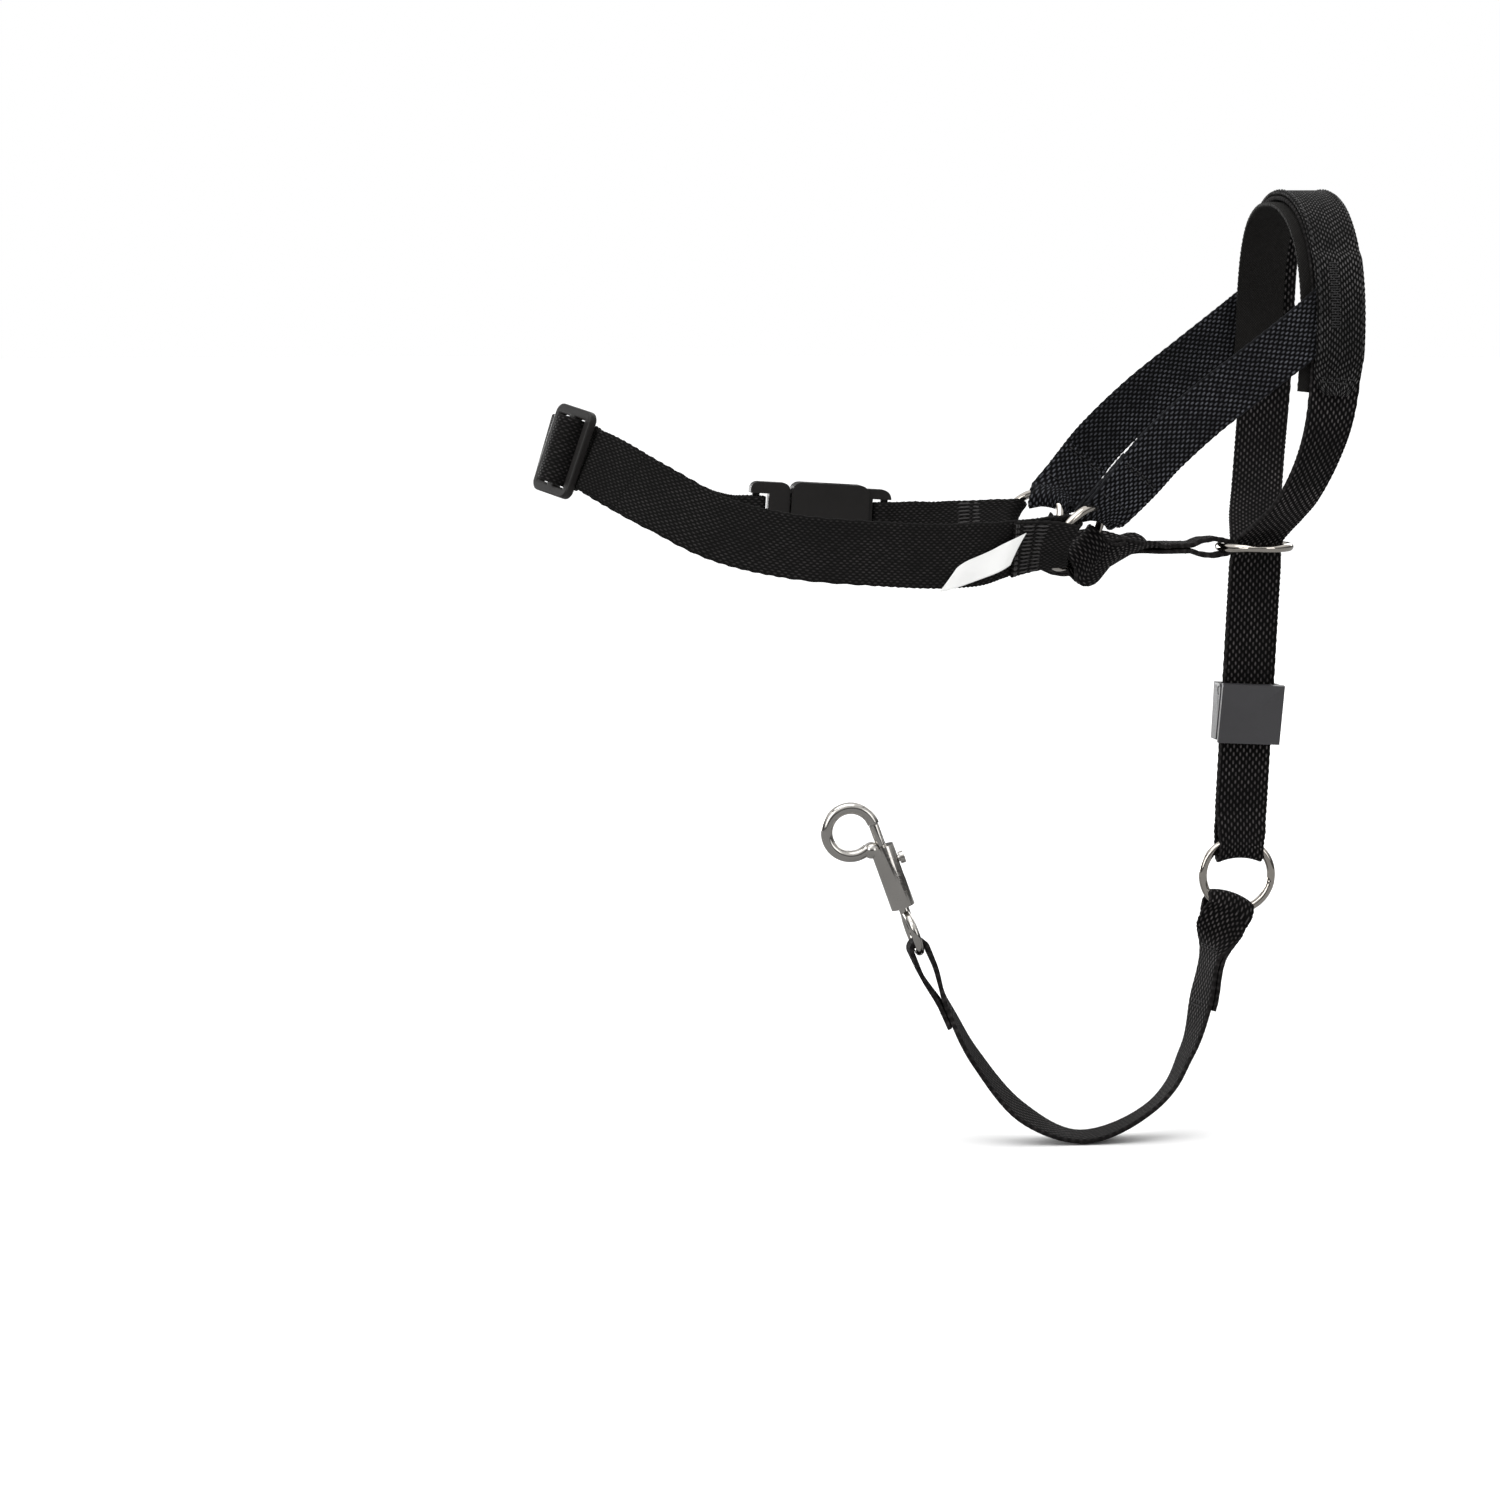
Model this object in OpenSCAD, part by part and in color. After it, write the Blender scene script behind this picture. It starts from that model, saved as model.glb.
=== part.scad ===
/* [Webbing] */
// Width of the nose, cheek, chin and lead webbing
strap_w = 16; // [15:0.5:17]
// Width of the neck webbing
neck_w = 19; // [18:0.5:20]
// Thickness of one layer of webbing
web_t = 1.4; // [1.2:0.1:1.5]
// Width of a strap where it gathers round a ring
gather_w = 10; // [9:0.5:11]

/* [Rings] */
// Inside diameter of the four O-rings
ring_id = 19; // [19:0.5:20]
// Thickness of the ring wire
ring_wire = 2.5; // [2.2:0.1:2.6]
// Lean of the cheek rings away from the side of the head, in degrees
cheek_ring_lean = 55; // [50:1:62]

/* [Fit on the head] */
// Half the width of the nose band
muzzle_half_w = 43; // [41:0.5:45]
// Half the width of the neck band
neck_half_w = 57.5; // [56:0.5:60]
// Height of the chin ring above the lead ring
chin_ring_z = 101.5; // [98:0.5:103]
// Height of the middle of the clamp above the lead ring
clamp_z = 50.9; // [42:0.5:58]

/* [Clamp] */
// Width of the clamp lever plate
lever_w = 19.4; // [19:0.1:20]
// Height of the clamp along the strap
clamp_h = 18.6; // [17:0.2:20]
// Radius of the lever's pivot pins
pivot_r = 1.15; // [1:0.05:1.3]

/* [Buckle and glide] */
// Length of the glide across the webbing
glide_w = 27; // [26:0.5:28]
// Width of the side-release buckle
buckle_w = 29; // [28:0.5:30]

/* [Hidden] */
$fn = 48;

web_black = [0.05, 0.05, 0.06];
plastic_black = [0.09, 0.09, 0.09];
clamp_grey = [0.2, 0.2, 0.21];
nickel = [0.78, 0.76, 0.72];

ring_r = ring_id / 2 + ring_wire / 2;
layer = web_t + 0.4;          // pitch of webbing layers that lie on each other
eye_r = ring_wire / 2 + 0.9 + web_t / 2;    // centre line of a webbing eye round a ring
fold_in = 1.7;                // how far a fold's centre lies inside the ring's wire circle
lead_lean = 2.8;              // forward lean of the lead strap, in degrees
lead_dir = [sin(lead_lean), 0, cos(lead_lean)];

// ---------- vectors and curves ----------
function unit(v) = v / norm(v);
function mix(a, b, u) = a + (b - a) * u;
function flip_y(v) = [v[0], -v[1], v[2]];
function pos(p) = [p[0], p[1], p[2]];
function across(p) = [p[3], p[4], p[5]];

// A knot: a point on a curve with the direction across the webbing there
function knot(p, w) = concat(p, w);
function mirrored(list) = [for (i = [len(list) - 1:-1:0])
  knot(flip_y(pos(list[i])), flip_y(across(list[i])) * -1)];

// Centripetal Catmull-Rom curve through a list of knots; t runs from 0 to len - 1
function gap(a, b) = sqrt(max(norm(pos(b) - pos(a)), 0.001));
function blend3(a, b, ta, tb, t) = a * ((tb - t) / (tb - ta)) + b * ((t - ta) / (tb - ta));
function curve(list, t) =
  let (
    last = len(list) - 1,
    i = min(max(floor(t), 0), last - 1),
    p1 = list[i],
    p2 = list[i + 1],
    p0 = i > 0 ? list[i - 1] : 2 * p1 - p2,
    p3 = i < last - 1 ? list[i + 2] : 2 * p2 - p1,
    t1 = gap(p0, p1),
    t2 = t1 + gap(p1, p2),
    t3 = t2 + gap(p2, p3),
    s = mix(t1, t2, t - i),
    a1 = blend3(p0, p1, 0, t1, s),
    a2 = blend3(p1, p2, t1, t2, s),
    a3 = blend3(p2, p3, t2, t3, s),
    b1 = blend3(a1, a2, 0, t2, s),
    b2 = blend3(a2, a3, t1, t3, s)
  )
  blend3(b1, b2, t1, t2, s);

// Local directions on a curve: along, across the webbing, and square to its face
function tangent(list, t) =
  let (h = 0.02, last = len(list) - 1)
  unit(pos(curve(list, min(t + h, last))) - pos(curve(list, max(t - h, 0))));
function width_dir(list, t) =
  let (d = tangent(list, t), w = across(curve(list, t)))
  unit(w - (w * d) * d);
function face_dir(list, t) = cross(tangent(list, t), width_dir(list, t));

// A station of a ribbon: [centre, direction across, width]
// run() follows a curve at the distance off(t) from it, on the side face_dir points to
function run(list, from, to, steps, off, width) = [
  for (k = [0:steps])
    let (t = mix(from, to, k / steps))
    [
      pos(curve(list, t)) + face_dir(list, t) * lookup(t, off),
      width_dir(list, t),
      lookup(t, width)
    ]
];
// turn() is a fold of radius r past the curve's point t; side is the layer it starts from
function turn(list, t, side, ahead, r, width, steps) =
  let (c = pos(curve(list, t)), f = face_dir(list, t) * side, d = tangent(list, t) * ahead)
  [
    for (k = [1:steps - 1])
      let (a = 180 * k / steps)
      [c + (f * cos(a) + d * sin(a)) * r, width_dir(list, t), width]
  ];

// ---------- ribbon solid ----------
function along(st, i, closed) =
  let (n = len(st))
  closed
    ? unit(st[(i + 1) % n][0] - st[(i + n - 1) % n][0])
    : unit(st[min(i + 1, n - 1)][0] - st[max(i - 1, 0)][0]);
function section(st, i, thick, closed) =
  let (
    d = along(st, i, closed),
    w = unit(st[i][1] - (st[i][1] * d) * d) * st[i][2] / 2,
    f = unit(cross(d, w)) * thick / 2,
    c = st[i][0]
  )
  [c + w + f, c - w + f, c - w - f, c + w - f];

module ribbon(stations, thick = web_t, closed = false) {
  n = len(stations);
  points = [for (i = [0:n - 1]) each section(stations, i, thick, closed)];
  last = closed ? n - 1 : n - 2;
  sides = [
    for (i = [0:last], k = [0:3])
      let (a = 4 * i + k, b = 4 * i + (k + 1) % 4, m = 4 * ((i + 1) % n))
      each [[a, m + (k + 1) % 4, b], [a, m + k, m + (k + 1) % 4]]
  ];
  e = 4 * (n - 1);
  caps = closed ? [] : [[0, 1, 2], [0, 2, 3], [e, e + 2, e + 1], [e, e + 3, e + 2]];
  polyhedron(points, concat(sides, caps), convexity = 8);
}

// A thread or wire of round section through a list of points
module thread(points, r, sides = 6) {
  n = len(points);
  rim = [
    for (i = [0:n - 1])
      let (
        d = unit(points[min(i + 1, n - 1)] - points[max(i - 1, 0)]),
        ref = abs(d[2]) < 0.9 ? [0, 0, 1] : [1, 0, 0],
        u = unit(cross(ref, d)),
        v = cross(d, u)
      )
      for (k = [0:sides - 1])
        points[i] + (u * cos(360 * k / sides) + v * sin(360 * k / sides)) * r
  ];
  walls = [
    for (i = [0:n - 2], k = [0:sides - 1])
      let (a = i * sides + k, b = i * sides + (k + 1) % sides)
      each [[a, b + sides, b], [a, a + sides, b + sides]]
  ];
  first = [for (k = [0:sides - 1]) k];
  final = [for (k = [sides - 1:-1:0]) (n - 1) * sides + k];
  polyhedron(rim, concat(walls, [first], [final]), convexity = 6);
}

module o_ring() {
  rotate_extrude($fn = 96)
    translate([ring_r, 0])
      circle(d = ring_wire, $fn = 32);
}

// A flat patch of stitching that lies on a curve's webbing, from t = a to b
module stitch_patch(list, a, b, off, width, thick = 0.35) {
  ribbon(run(list, a, b, 6, [[0, off], [99, off]], [[0, width], [99, width]]), thick);
}

// ---------- cheek ring, right side ----------
cheek_c = [-58.5, -36, 107.2];
ring_pitch = 50;                                 // of the ring's long axis, forward and up
ring_up = [cos(ring_pitch), 0, sin(ring_pitch)];
ring_out = [-cos(cheek_ring_lean) * sin(ring_pitch), -sin(cheek_ring_lean),
  cos(cheek_ring_lean) * cos(ring_pitch)];
ring_n = cross(ring_up, ring_out);
function ring_radial(a) = ring_up * cos(a) + ring_out * sin(a);
function ring_along(a) = ring_out * cos(a) - ring_up * sin(a);
function fold_at(a) = cheek_c + ring_radial(a) * (ring_r - fold_in);
cheek_at = -10;      // where each strap meets the ring, in degrees from its long axis
neck_at = 126;
chin_at = -95;

module right_cheek_ring() {
  multmatrix([
    [ring_up[0], ring_out[0], ring_n[0], cheek_c[0]],
    [ring_up[1], ring_out[1], ring_n[1], cheek_c[1]],
    [ring_up[2], ring_out[2], ring_n[2], cheek_c[2]]
  ]) o_ring();
}
module cheek_ring_right() { color(nickel) right_cheek_ring(); }
module cheek_ring_left() { color(nickel) mirror([0, 1, 0]) right_cheek_ring(); }

// ---------- nose strap: one closed loop from the lead ring over the muzzle ----------
function lead_x(z) = 0.5 + (z - 10) * tan(lead_lean);
lead_fold_z = ring_r - 0.8;
lead_eye_r = 3.6;
m = muzzle_half_w;
nose_half = [
  knot([lead_x(lead_fold_z), 0, lead_fold_z], [1, 0, 0]),
  knot([lead_x(22), 0, 22], [1, 0, 0]),
  knot([lead_x(50), 0, 50], [1, 0, 0]),
  knot([lead_x(80), 0, 80], [1, 0, 0]),
  knot([lead_x(96), 0, 96], [1, 0, 0])
];
nose_loop = [
  knot([4.9, -0.8, 98], [1, 0, 0]),
  knot([5.2, -2.6, 103], [1, 0.1, 0]),
  knot([6.6, -8.5, 106.8], [1, 0.25, 0]),
  knot([8.6, -17, 111.2], [1, 0.4, 0]),
  knot([11.2, -26, 117.2], [1, 0.45, 0]),
  knot([14.6, -m + 6.5, 129.4], [1, 0.4, 0]),
  knot([16.9, -m + 1, 142], [1, 0.25, 0]),
  knot([18.7, -m, 162], [1, 0.05, 0]),
  knot([18.9, -m + 0.8, 178.5], [1, 0.03, 0]),
  knot([18.7, -m + 6, 192], [1, 0.02, 0]),
  knot([18.3, -m + 15.5, 201.2], [1, 0.03, 0.01]),
  knot([18, -m + 28, 206.2], [1, 0, 0]),
  knot([17.9, 0, 207.8], [1, 0, 0])
];
nose_line = concat(nose_loop, [for (i = [len(nose_loop) - 2:-1:0])
  knot(flip_y(pos(nose_loop[i])), flip_y(across(nose_loop[i])))]);
nose_end = len(nose_line) - 1;
nose_top = nose_end / 2;

lead_off = [[0, lead_eye_r], [0.25, 3.1], [1, 0.8], [9, 0.8]];
lead_width = [[0, gather_w], [0.3, 14], [0.8, strap_w], [9, strap_w]];

module nose_strap() {
  up_run = run(nose_half, 0, 4, 12, lead_off, lead_width);
  loop = run(nose_line, 0, nose_end, 72, [[0, 0]], [[0, 15.4], [1, 15.4], [3, strap_w],
    [nose_end - 3, strap_w], [nose_end - 1, 15.4]]);
  down_run = [for (i = [len(up_run) - 1:-1:0]) [flip_y(up_run[i][0]), up_run[i][1], up_run[i][2]]];
  fold = [for (k = [1:9])
    let (a = 180 * k / 10)
    [pos(nose_half[0]) + [0, cos(a), -sin(a)] * lead_eye_r, [1, 0, 0], gather_w]];
  near_run = [for (s = up_run) [[s[0][0], -abs(s[0][1]), s[0][2]], s[1], s[2]]];
  far_run = [for (s = down_run) [[s[0][0], abs(s[0][1]), s[0][2]], s[1], s[2]]];
  color(web_black) ribbon(concat(near_run, loop, far_run, fold), closed = true);
}

// The cheek strap's end lies between the nose strap and the overlay
sandwich_a = 6.7;
sandwich_b = 8.95;
function far_side(t) = nose_end - t;
overlay_end = 6.38;
overlay_w = strap_w - 1;
overlay_off = [
  [overlay_end, -layer], [sandwich_a, -layer], [sandwich_a + 0.3, -2 * layer],
  [sandwich_b - 0.3, -2 * layer], [sandwich_b, -layer],
  [far_side(sandwich_b), -layer], [far_side(sandwich_b - 0.3), -2 * layer],
  [far_side(sandwich_a + 0.3), -2 * layer], [far_side(sandwich_a), -layer]
];
function shift_across(st, d) = [for (s = st) [s[0] + s[1] * d, s[1], s[2]]];
overlay_width = [[overlay_end, overlay_w - 7], [overlay_end + 0.15, overlay_w - 2],
  [overlay_end + 0.3, overlay_w], [far_side(overlay_end + 0.3), overlay_w],
  [far_side(overlay_end + 0.15), overlay_w - 2], [far_side(overlay_end), overlay_w - 7]];
module nose_overlay() {
  color(web_black)
    ribbon(run(nose_line, overlay_end, far_side(overlay_end), 64, overlay_off, overlay_width));
}
module nose_lining() {
  color(web_black)
    ribbon(shift_across(run(nose_line, overlay_end, far_side(overlay_end), 48,
      [[0, layer + 0.4]], [[0, strap_w - 1]]), -3.5));
}
module overlay_bartacks() {
  color(web_black)
    for (t = [7.45, far_side(8.6)])
      ribbon(shift_across(run(nose_line, t, t + 1.15, 8, [[0, -2 * layer - web_t / 2 - 0.3]],
        [[0, 3.2]]), -1.8), 0.4);
}

// ---------- cheek strap ----------
cheek_line = [
  knot([18.5, -m - 1.24, 176.5], [0.66, -0.085, -0.75]),
  knot([9, -m - 2, 168.6], [0.66, 0, -0.75]),
  knot([-6, -m - 1.75, 157], [0.65, 0, -0.75]),
  knot([-21.7, -m - 0.6, 144.9], [0.68, 0, -0.73]),
  knot([-35, -m + 0.6, 132.6], [0.7, 0.05, -0.7]),
  knot([-42.4, -m + 2.2, 124.1], [0.68, 0.2, -0.68]),
  knot([-47.8, -m + 7.8, 117.2], [0.5, 0.65, -0.57]),
  knot(fold_at(cheek_at), -ring_along(cheek_at))
];
cheek_end = len(cheek_line) - 1;
hem_off = [[cheek_end - 2.4, 0.8], [cheek_end - 1, 0.85], [cheek_end - 0.2, eye_r],
  [cheek_end, eye_r]];
cheek_main_off = concat([[0, 0], [cheek_end - 3.2, 0]], hem_off);
cheek_width = [[0, strap_w], [cheek_end - 1.2, strap_w], [cheek_end - 0.3, gather_w],
  [cheek_end, gather_w]];
module right_cheek_strap() {
  out_run = run(cheek_line, 0, cheek_end, 40, cheek_main_off, cheek_width);
  back_run = run(cheek_line, cheek_end, cheek_end - 2.4, 16,
    [for (o = hem_off) [o[0], -o[1]]], cheek_width);
  ribbon(concat(out_run, turn(cheek_line, cheek_end, 1, 1, eye_r, gather_w, 10), back_run));
}
module cheek_strap_right() { color(web_black) right_cheek_strap(); }
module cheek_strap_left() { color(web_black) mirror([0, 1, 0]) right_cheek_strap(); }
module right_cheek_stitches() {
  for (t = [cheek_end - 2.25, cheek_end - 1.75])
    stitch_patch(cheek_line, t, t + 0.12, 0.85 + web_t / 2 + 0.5, 12);
}
module cheek_stitching() {
  color(web_black) {
    right_cheek_stitches();
    mirror([0, 1, 0]) right_cheek_stitches();
  }
}

// ---------- chin strap: folded round the chin ring, one leg to each cheek ring ----------
chin_c = [4.4, 0, chin_ring_z];
chin_wire_x = chin_c[0] - ring_r;
chin_half = [
  knot(fold_at(chin_at), ring_along(chin_at)),
  knot([-51.4, -25, 98.6], [0.57, -0.05, 0.82]),
  knot([-43.7, -17, 99.4], [0.12, -0.8, 0.6]),
  knot([-37.4, -9.5, 99.4], [0.1, -0.93, 0.34]),
  knot([-30.5, -3, 101.3], [0.05, -0.99, 0]),
  knot([-25, -0.3, chin_ring_z], [0.02, -1, 0]),
  knot([-20, 0, chin_ring_z], [0, -1, 0]),
  knot([-13, 0, chin_ring_z], [0, -1, 0]),
  knot([chin_wire_x + 0.6, 0, chin_ring_z], [0, -1, 0])
];
chin_end = len(chin_half) - 1;
chin_fold_w = 6.5;
chin_leg_off = [[0, -eye_r], [0.6, -eye_r], [1.1, -0.85], [6, -0.85], [6.5, -0.85],
  [7, -2.3], [7.5, -2.6], [chin_end, -2.05]];
chin_width = [[0, gather_w], [0.4, gather_w], [1.0, strap_w], [5, strap_w], [6, 14],
  [7, 11], [7.6, chin_fold_w], [chin_end, chin_fold_w]];
module chin_strap() {
  hem = run(chin_half, 1.9, 0, 12, [[0, eye_r], [0.6, eye_r], [1.1, 0.85], [2, 0.85]], chin_width);
  near_fold = turn(chin_half, 0, 1, -1, eye_r, gather_w, 10);
  near_leg = run(chin_half, 0, chin_end, 52, chin_leg_off, chin_width);
  ring_fold = turn(chin_half, chin_end, -1, 1, 2.05, chin_fold_w, 10);
  near = concat(hem, near_fold, near_leg);
  far = [for (i = [len(near) - 1:-1:0])
    let (s = near[i])
    [[s[0][0], -s[0][1], s[0][2]] , -flip_y(s[1]), s[2]]];
  // the far leg is the lower layer: its knots lie one layer lower than the near leg's
  lowered = [for (s = far) [s[0] - [0, 0, 2 * (s[0][2] - chin_ring_z) * chin_share(s[0][0])],
    s[1], s[2]]];
  color(web_black) ribbon(concat(near, ring_fold, lowered));
}
// 1 where the two layers lie on each other, 0 out along the legs
function chin_share(x) = lookup(x, [[-40, 0], [-32, 1]]);

module chin_stitching() {
  color(web_black)
    for (x = [-26, -18])
      for (s = [-1, 1])
        translate([x - 0.5, -4.5, chin_ring_z + s * (0.85 + web_t / 2 + 0.2) - 0.15])
          cube([1, 9, 0.3]);
}
module chin_ring() { color(nickel) translate(chin_c) o_ring(); }

// ---------- lead ring ----------
module lead_ring() { color(nickel) rotate([90, 0, 0]) o_ring(); }

// ---------- clamp ----------
wall_t = 1.5;
wall_in = strap_w / 2 + 0.5;
pivot = [0, -3.4, clamp_h / 2 - 3.1];       // lever pivot, from the clamp's middle
wall_front_r = 2.3;
plate_t = 1.7;
plate_lean = 8.8;                           // the closed plate leans in at the bottom
module in_clamp() {
  translate([lead_x(clamp_z), 0, clamp_z]) rotate([0, lead_lean, 0]) children();
}
module clamp_wall_profile() {
  hull() {
    translate([pivot[1], pivot[2]]) circle(wall_front_r, $fn = 32);
    translate([2.3, pivot[2] + wall_front_r - 1.2]) square(1.2);
    translate([2.3, -clamp_h / 2 + 0.3]) square(1.2);
    translate([-3.1, -clamp_h / 2 + 0.3]) square(0.6);
  }
}
module clamp_base() {
  color(clamp_grey) in_clamp() difference() {
    union() {
      for (x = [-wall_in - wall_t, wall_in])
        translate([x, 0, 0]) rotate([90, 0, 90]) linear_extrude(wall_t) clamp_wall_profile();
      translate([-wall_in - 0.1, 1.7, -clamp_h / 2 + 0.3])
        cube([2 * wall_in + 0.2, 1.8, pivot[2] + wall_front_r + clamp_h / 2 - 0.3]);
    }
    translate([-12, pivot[1], pivot[2]]) rotate([0, 90, 0]) cylinder(r = pivot_r + 0.15, h = 24);
  }
}
module clamp_lever() {
  boss_r = 1.55;
  low = -clamp_h / 2 - pivot[2];
  color(clamp_grey) in_clamp() translate(pivot) {
    rotate([0, 90, 0]) translate([0, 0, -wall_in - wall_t + 0.2])
      cylinder(r = pivot_r, h = 2 * (wall_in + wall_t - 0.2));
    rotate([0, 90, 0]) translate([0, 0, -wall_in + 0.25]) cylinder(r = boss_r, h = 2 * wall_in - 0.5);
    rotate([plate_lean, 0, 0]) {
      translate([-lever_w / 2, -wall_front_r - 0.25 - plate_t, low])
        cube([lever_w, plate_t, clamp_h]);
      translate([-wall_in + 0.25, -wall_front_r - 0.3, -1.2]) cube([2 * wall_in - 0.5, 2.3, 2.4]);
    }
  }
}

// ---------- safety strap ----------
safety_at = 254;      // where it leaves the lead ring, in degrees from forward
safety_r = [cos(safety_at), 0, sin(safety_at)];
safety_fold = safety_r * (ring_r - 0.8);
snap_lean = 20;       // lean of the snap hook back from vertical
snap_o = [-101.5, 0, -16];      // centre of the snap's eye
snap_up = [-sin(snap_lean), 0, cos(snap_lean)];
snap_eye_r = 6.2;
safety_line = [
  knot(safety_fold, [-sin(safety_at), 0, cos(safety_at)]),
  knot([-5.4, 0, -17], [0.85, -0.5, -0.2]),
  knot([-7.2, 0, -24], [0.2, -0.98, -0.04]),
  knot([-10.2, 0, -39.3], [0.17, -0.98, -0.04]),
  knot([-14.2, 0, -54.5], [0, -1, 0]),
  knot([-25.5, 0, -71.4], [-0.07, -0.99, 0.08]),
  knot([-47.6, 0, -80.8], [0, -1, -0.02]),
  knot([-67, 0, -72.9], [-0.16, -0.96, -0.22]),
  knot([-82, 0, -55.2], [-0.2, -0.97, -0.16]),
  knot([-91.5, 0, -39], [-0.15, -0.98, -0.1]),
  knot(snap_o - snap_up * (snap_eye_r - 1), [0, -1, 0])
];
safety_end = len(safety_line) - 1;
safety_eye = 3.8;
snap_fold_r = 2.55;   // looser than a plain eye, so the snap can swing on the strap
snap_fold_w = 7;
safety_off = [[0, safety_eye], [0.3, 3], [1.2, 0.85], [4.1, 0.85], [4.6, 0.2], [8, 0.2],
  [9, 0.85], [9.7, snap_fold_r], [safety_end, snap_fold_r]];
safety_width = [[0, gather_w], [0.5, 13.5], [1.2, 15], [2, strap_w], [8.5, strap_w],
  [9.5, snap_fold_w], [safety_end, snap_fold_w]];
module safety_strap() {
  first_hem = run(safety_line, 3.1, 0, 24, [[0, -safety_eye], [0.3, -3], [1.2, -0.85], [4, -0.85]],
    safety_width);
  ring_fold = turn(safety_line, 0, -1, -1, safety_eye, gather_w, 10);
  main = run(safety_line, 0, safety_end, 64, safety_off, safety_width);
  snap_fold = turn(safety_line, safety_end, 1, 1, snap_fold_r, snap_fold_w, 10);
  last_hem = run(safety_line, safety_end, 8.7, 10,
    [[8.7, -0.85], [9, -0.85], [9.7, -snap_fold_r], [safety_end, -snap_fold_r]], safety_width);
  color(web_black) ribbon(concat(first_hem, ring_fold, main, snap_fold, last_hem));
}
module safety_stitching() {
  color(web_black) {
    for (t = [1.8, 3])
      stitch_patch(safety_line, t, t + 0.1, -(0.85 + web_t / 2 + 0.25), 7);
    stitch_patch(safety_line, 8.85, 8.95, -(0.85 + web_t / 2 + 0.25), 8);
  }
}

// ---------- trigger snap hook ----------
barrel_r = 3.7;
barrel_z = [8.6, 28.5];
bolt_r = 1.5;
hook_r = 7.4;
hook_wire = 1.8;
hook_z = 36;
module in_snap() { translate(snap_o) rotate([0, -snap_lean, 0]) children(); }
module snap_swivel() {
  color(nickel) in_snap() {
    rotate([0, 90, 0]) rotate_extrude($fn = 64) translate([snap_eye_r, 0]) circle(1.25, $fn = 32);
    translate([0, 0, snap_eye_r - 0.6]) cylinder(r = 1.6, h = 8.6);
    translate([0, 0, 12.8]) cylinder(r = 2.5, h = 1.4);
  }
}
module snap_hook() {
  color(nickel) in_snap() difference() {
    union() {
      translate([0, 0, barrel_z[0]]) cylinder(r = barrel_r, h = barrel_z[1] - barrel_z[0]);
      translate([0, 0, barrel_z[0] - 0.01]) cylinder(r1 = 3, r2 = barrel_r, h = 1.2);
      translate([-3.3, 0, barrel_z[1]]) sphere(2.6);
      translate([-hook_r, 0, hook_z]) rotate([90, 0, 0])
        rotate_extrude(angle = 297, $fn = 64) translate([hook_r, 0]) circle(hook_wire, $fn = 32);
    }
    translate([0, 0, barrel_z[0] - 1]) cylinder(r = 1.85, h = 5);
    translate([0, 0, 12.5]) cylinder(r = 2.8, h = 2);
    translate([0, 0, 16]) cylinder(r = bolt_r + 0.2, h = 16);
    translate([0, -1.2, 17.3]) cube([barrel_r + 1, 2.4, 7.2]);
  }
}
module snap_plunger() {
  color(nickel) in_snap() {
    translate([0, 0, 21.8]) cylinder(r = bolt_r, h = hook_z - 0.4 - 21.8);
    translate([0, 0, 23.2]) rotate([0, 90, 0]) cylinder(r = 1, h = barrel_r + 1.6);
    translate([barrel_r + 0.4, 0, 23.2]) rotate([0, 90, 0]) cylinder(r = 1.9, h = 1.4);
  }
}
spring_turns = 7;
module snap_spring() {
  coil = [for (k = [0:spring_turns * 12])
    let (a = 30 * k)
    [1.15 * cos(a), 1.15 * sin(a), 16.5 + (21.3 - 16.5) * k / (spring_turns * 12)]];
  color(nickel) in_snap() thread(coil, 0.22);
}

// ---------- neck band ----------
n = neck_half_w;
nape_x = -213.5;
neck_line = [
  knot(fold_at(neck_at), -ring_along(neck_at)),
  knot([-77, -n + 10.2, 105.2], [0.08, -0.3, 0.95]),
  knot([-88, -n + 5, 103.9], [0, -0.08, 1]),
  knot([-103, -n + 1.2, 103.3], [0, 0.03, 1]),
  knot([-122, -n, 104.3], [0.02, 0.08, 1]),
  knot([-147, -n + 0.8, 106.6], [0.1, 0.12, 0.98]),
  knot([-168, -n + 5.5, 111.6], [0.25, 0.14, 0.95]),
  knot([-187, -n + 15.5, 121.6], [0.36, 0.14, 0.92]),
  knot([-201, -n + 30, 129.8], [0.36, 0.1, 0.93]),
  knot([-210, -15.5, 133], [0.3, 0.04, 0.95]),
  knot([nape_x, 0, 134], [0.28, 0, 0.96])
];
// The buckle's frame: its origin is the middle of the socket's mouth, and it leans forward
buckle_o = [-131.5, n, 104.9];
buckle_lean = 3.5;
buckle_dir = [cos(buckle_lean), 0, -sin(buckle_lean)];
buckle_up = [sin(buckle_lean), 0, cos(buckle_lean)];
plug_bar = -11;          // the two webbing bars, along the buckle from its origin
socket_bar = 29.8;
function on_buckle(x) = knot(buckle_o + buckle_dir * x, buckle_up);
// The left half mirrors the right, but runs straight through the buckle
function mirrored_knots(from, to) = [for (i = [from:-1:to])
  knot(flip_y(pos(neck_line[i])), flip_y(across(neck_line[i])))];
neck_full = concat(
  neck_line,
  mirrored_knots(9, 6),
  [on_buckle(plug_bar - 10), on_buckle(plug_bar), on_buckle((plug_bar + socket_bar) / 2),
    on_buckle(socket_bar)],
  mirrored_knots(2, 0)
);
neck_last = len(neck_full) - 1;
glide_t = 8.95;          // the glide's place on the neck line
plug_t = 16;             // the knots at the two bars, where the webbing turns round them
socket_t = 18;
bar_fold_r = 2.6;

neck_width = [[0, gather_w], [0.9, 16.8], [1.6, 17.5], [2.4, neck_w], [99, neck_w]];

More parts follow.
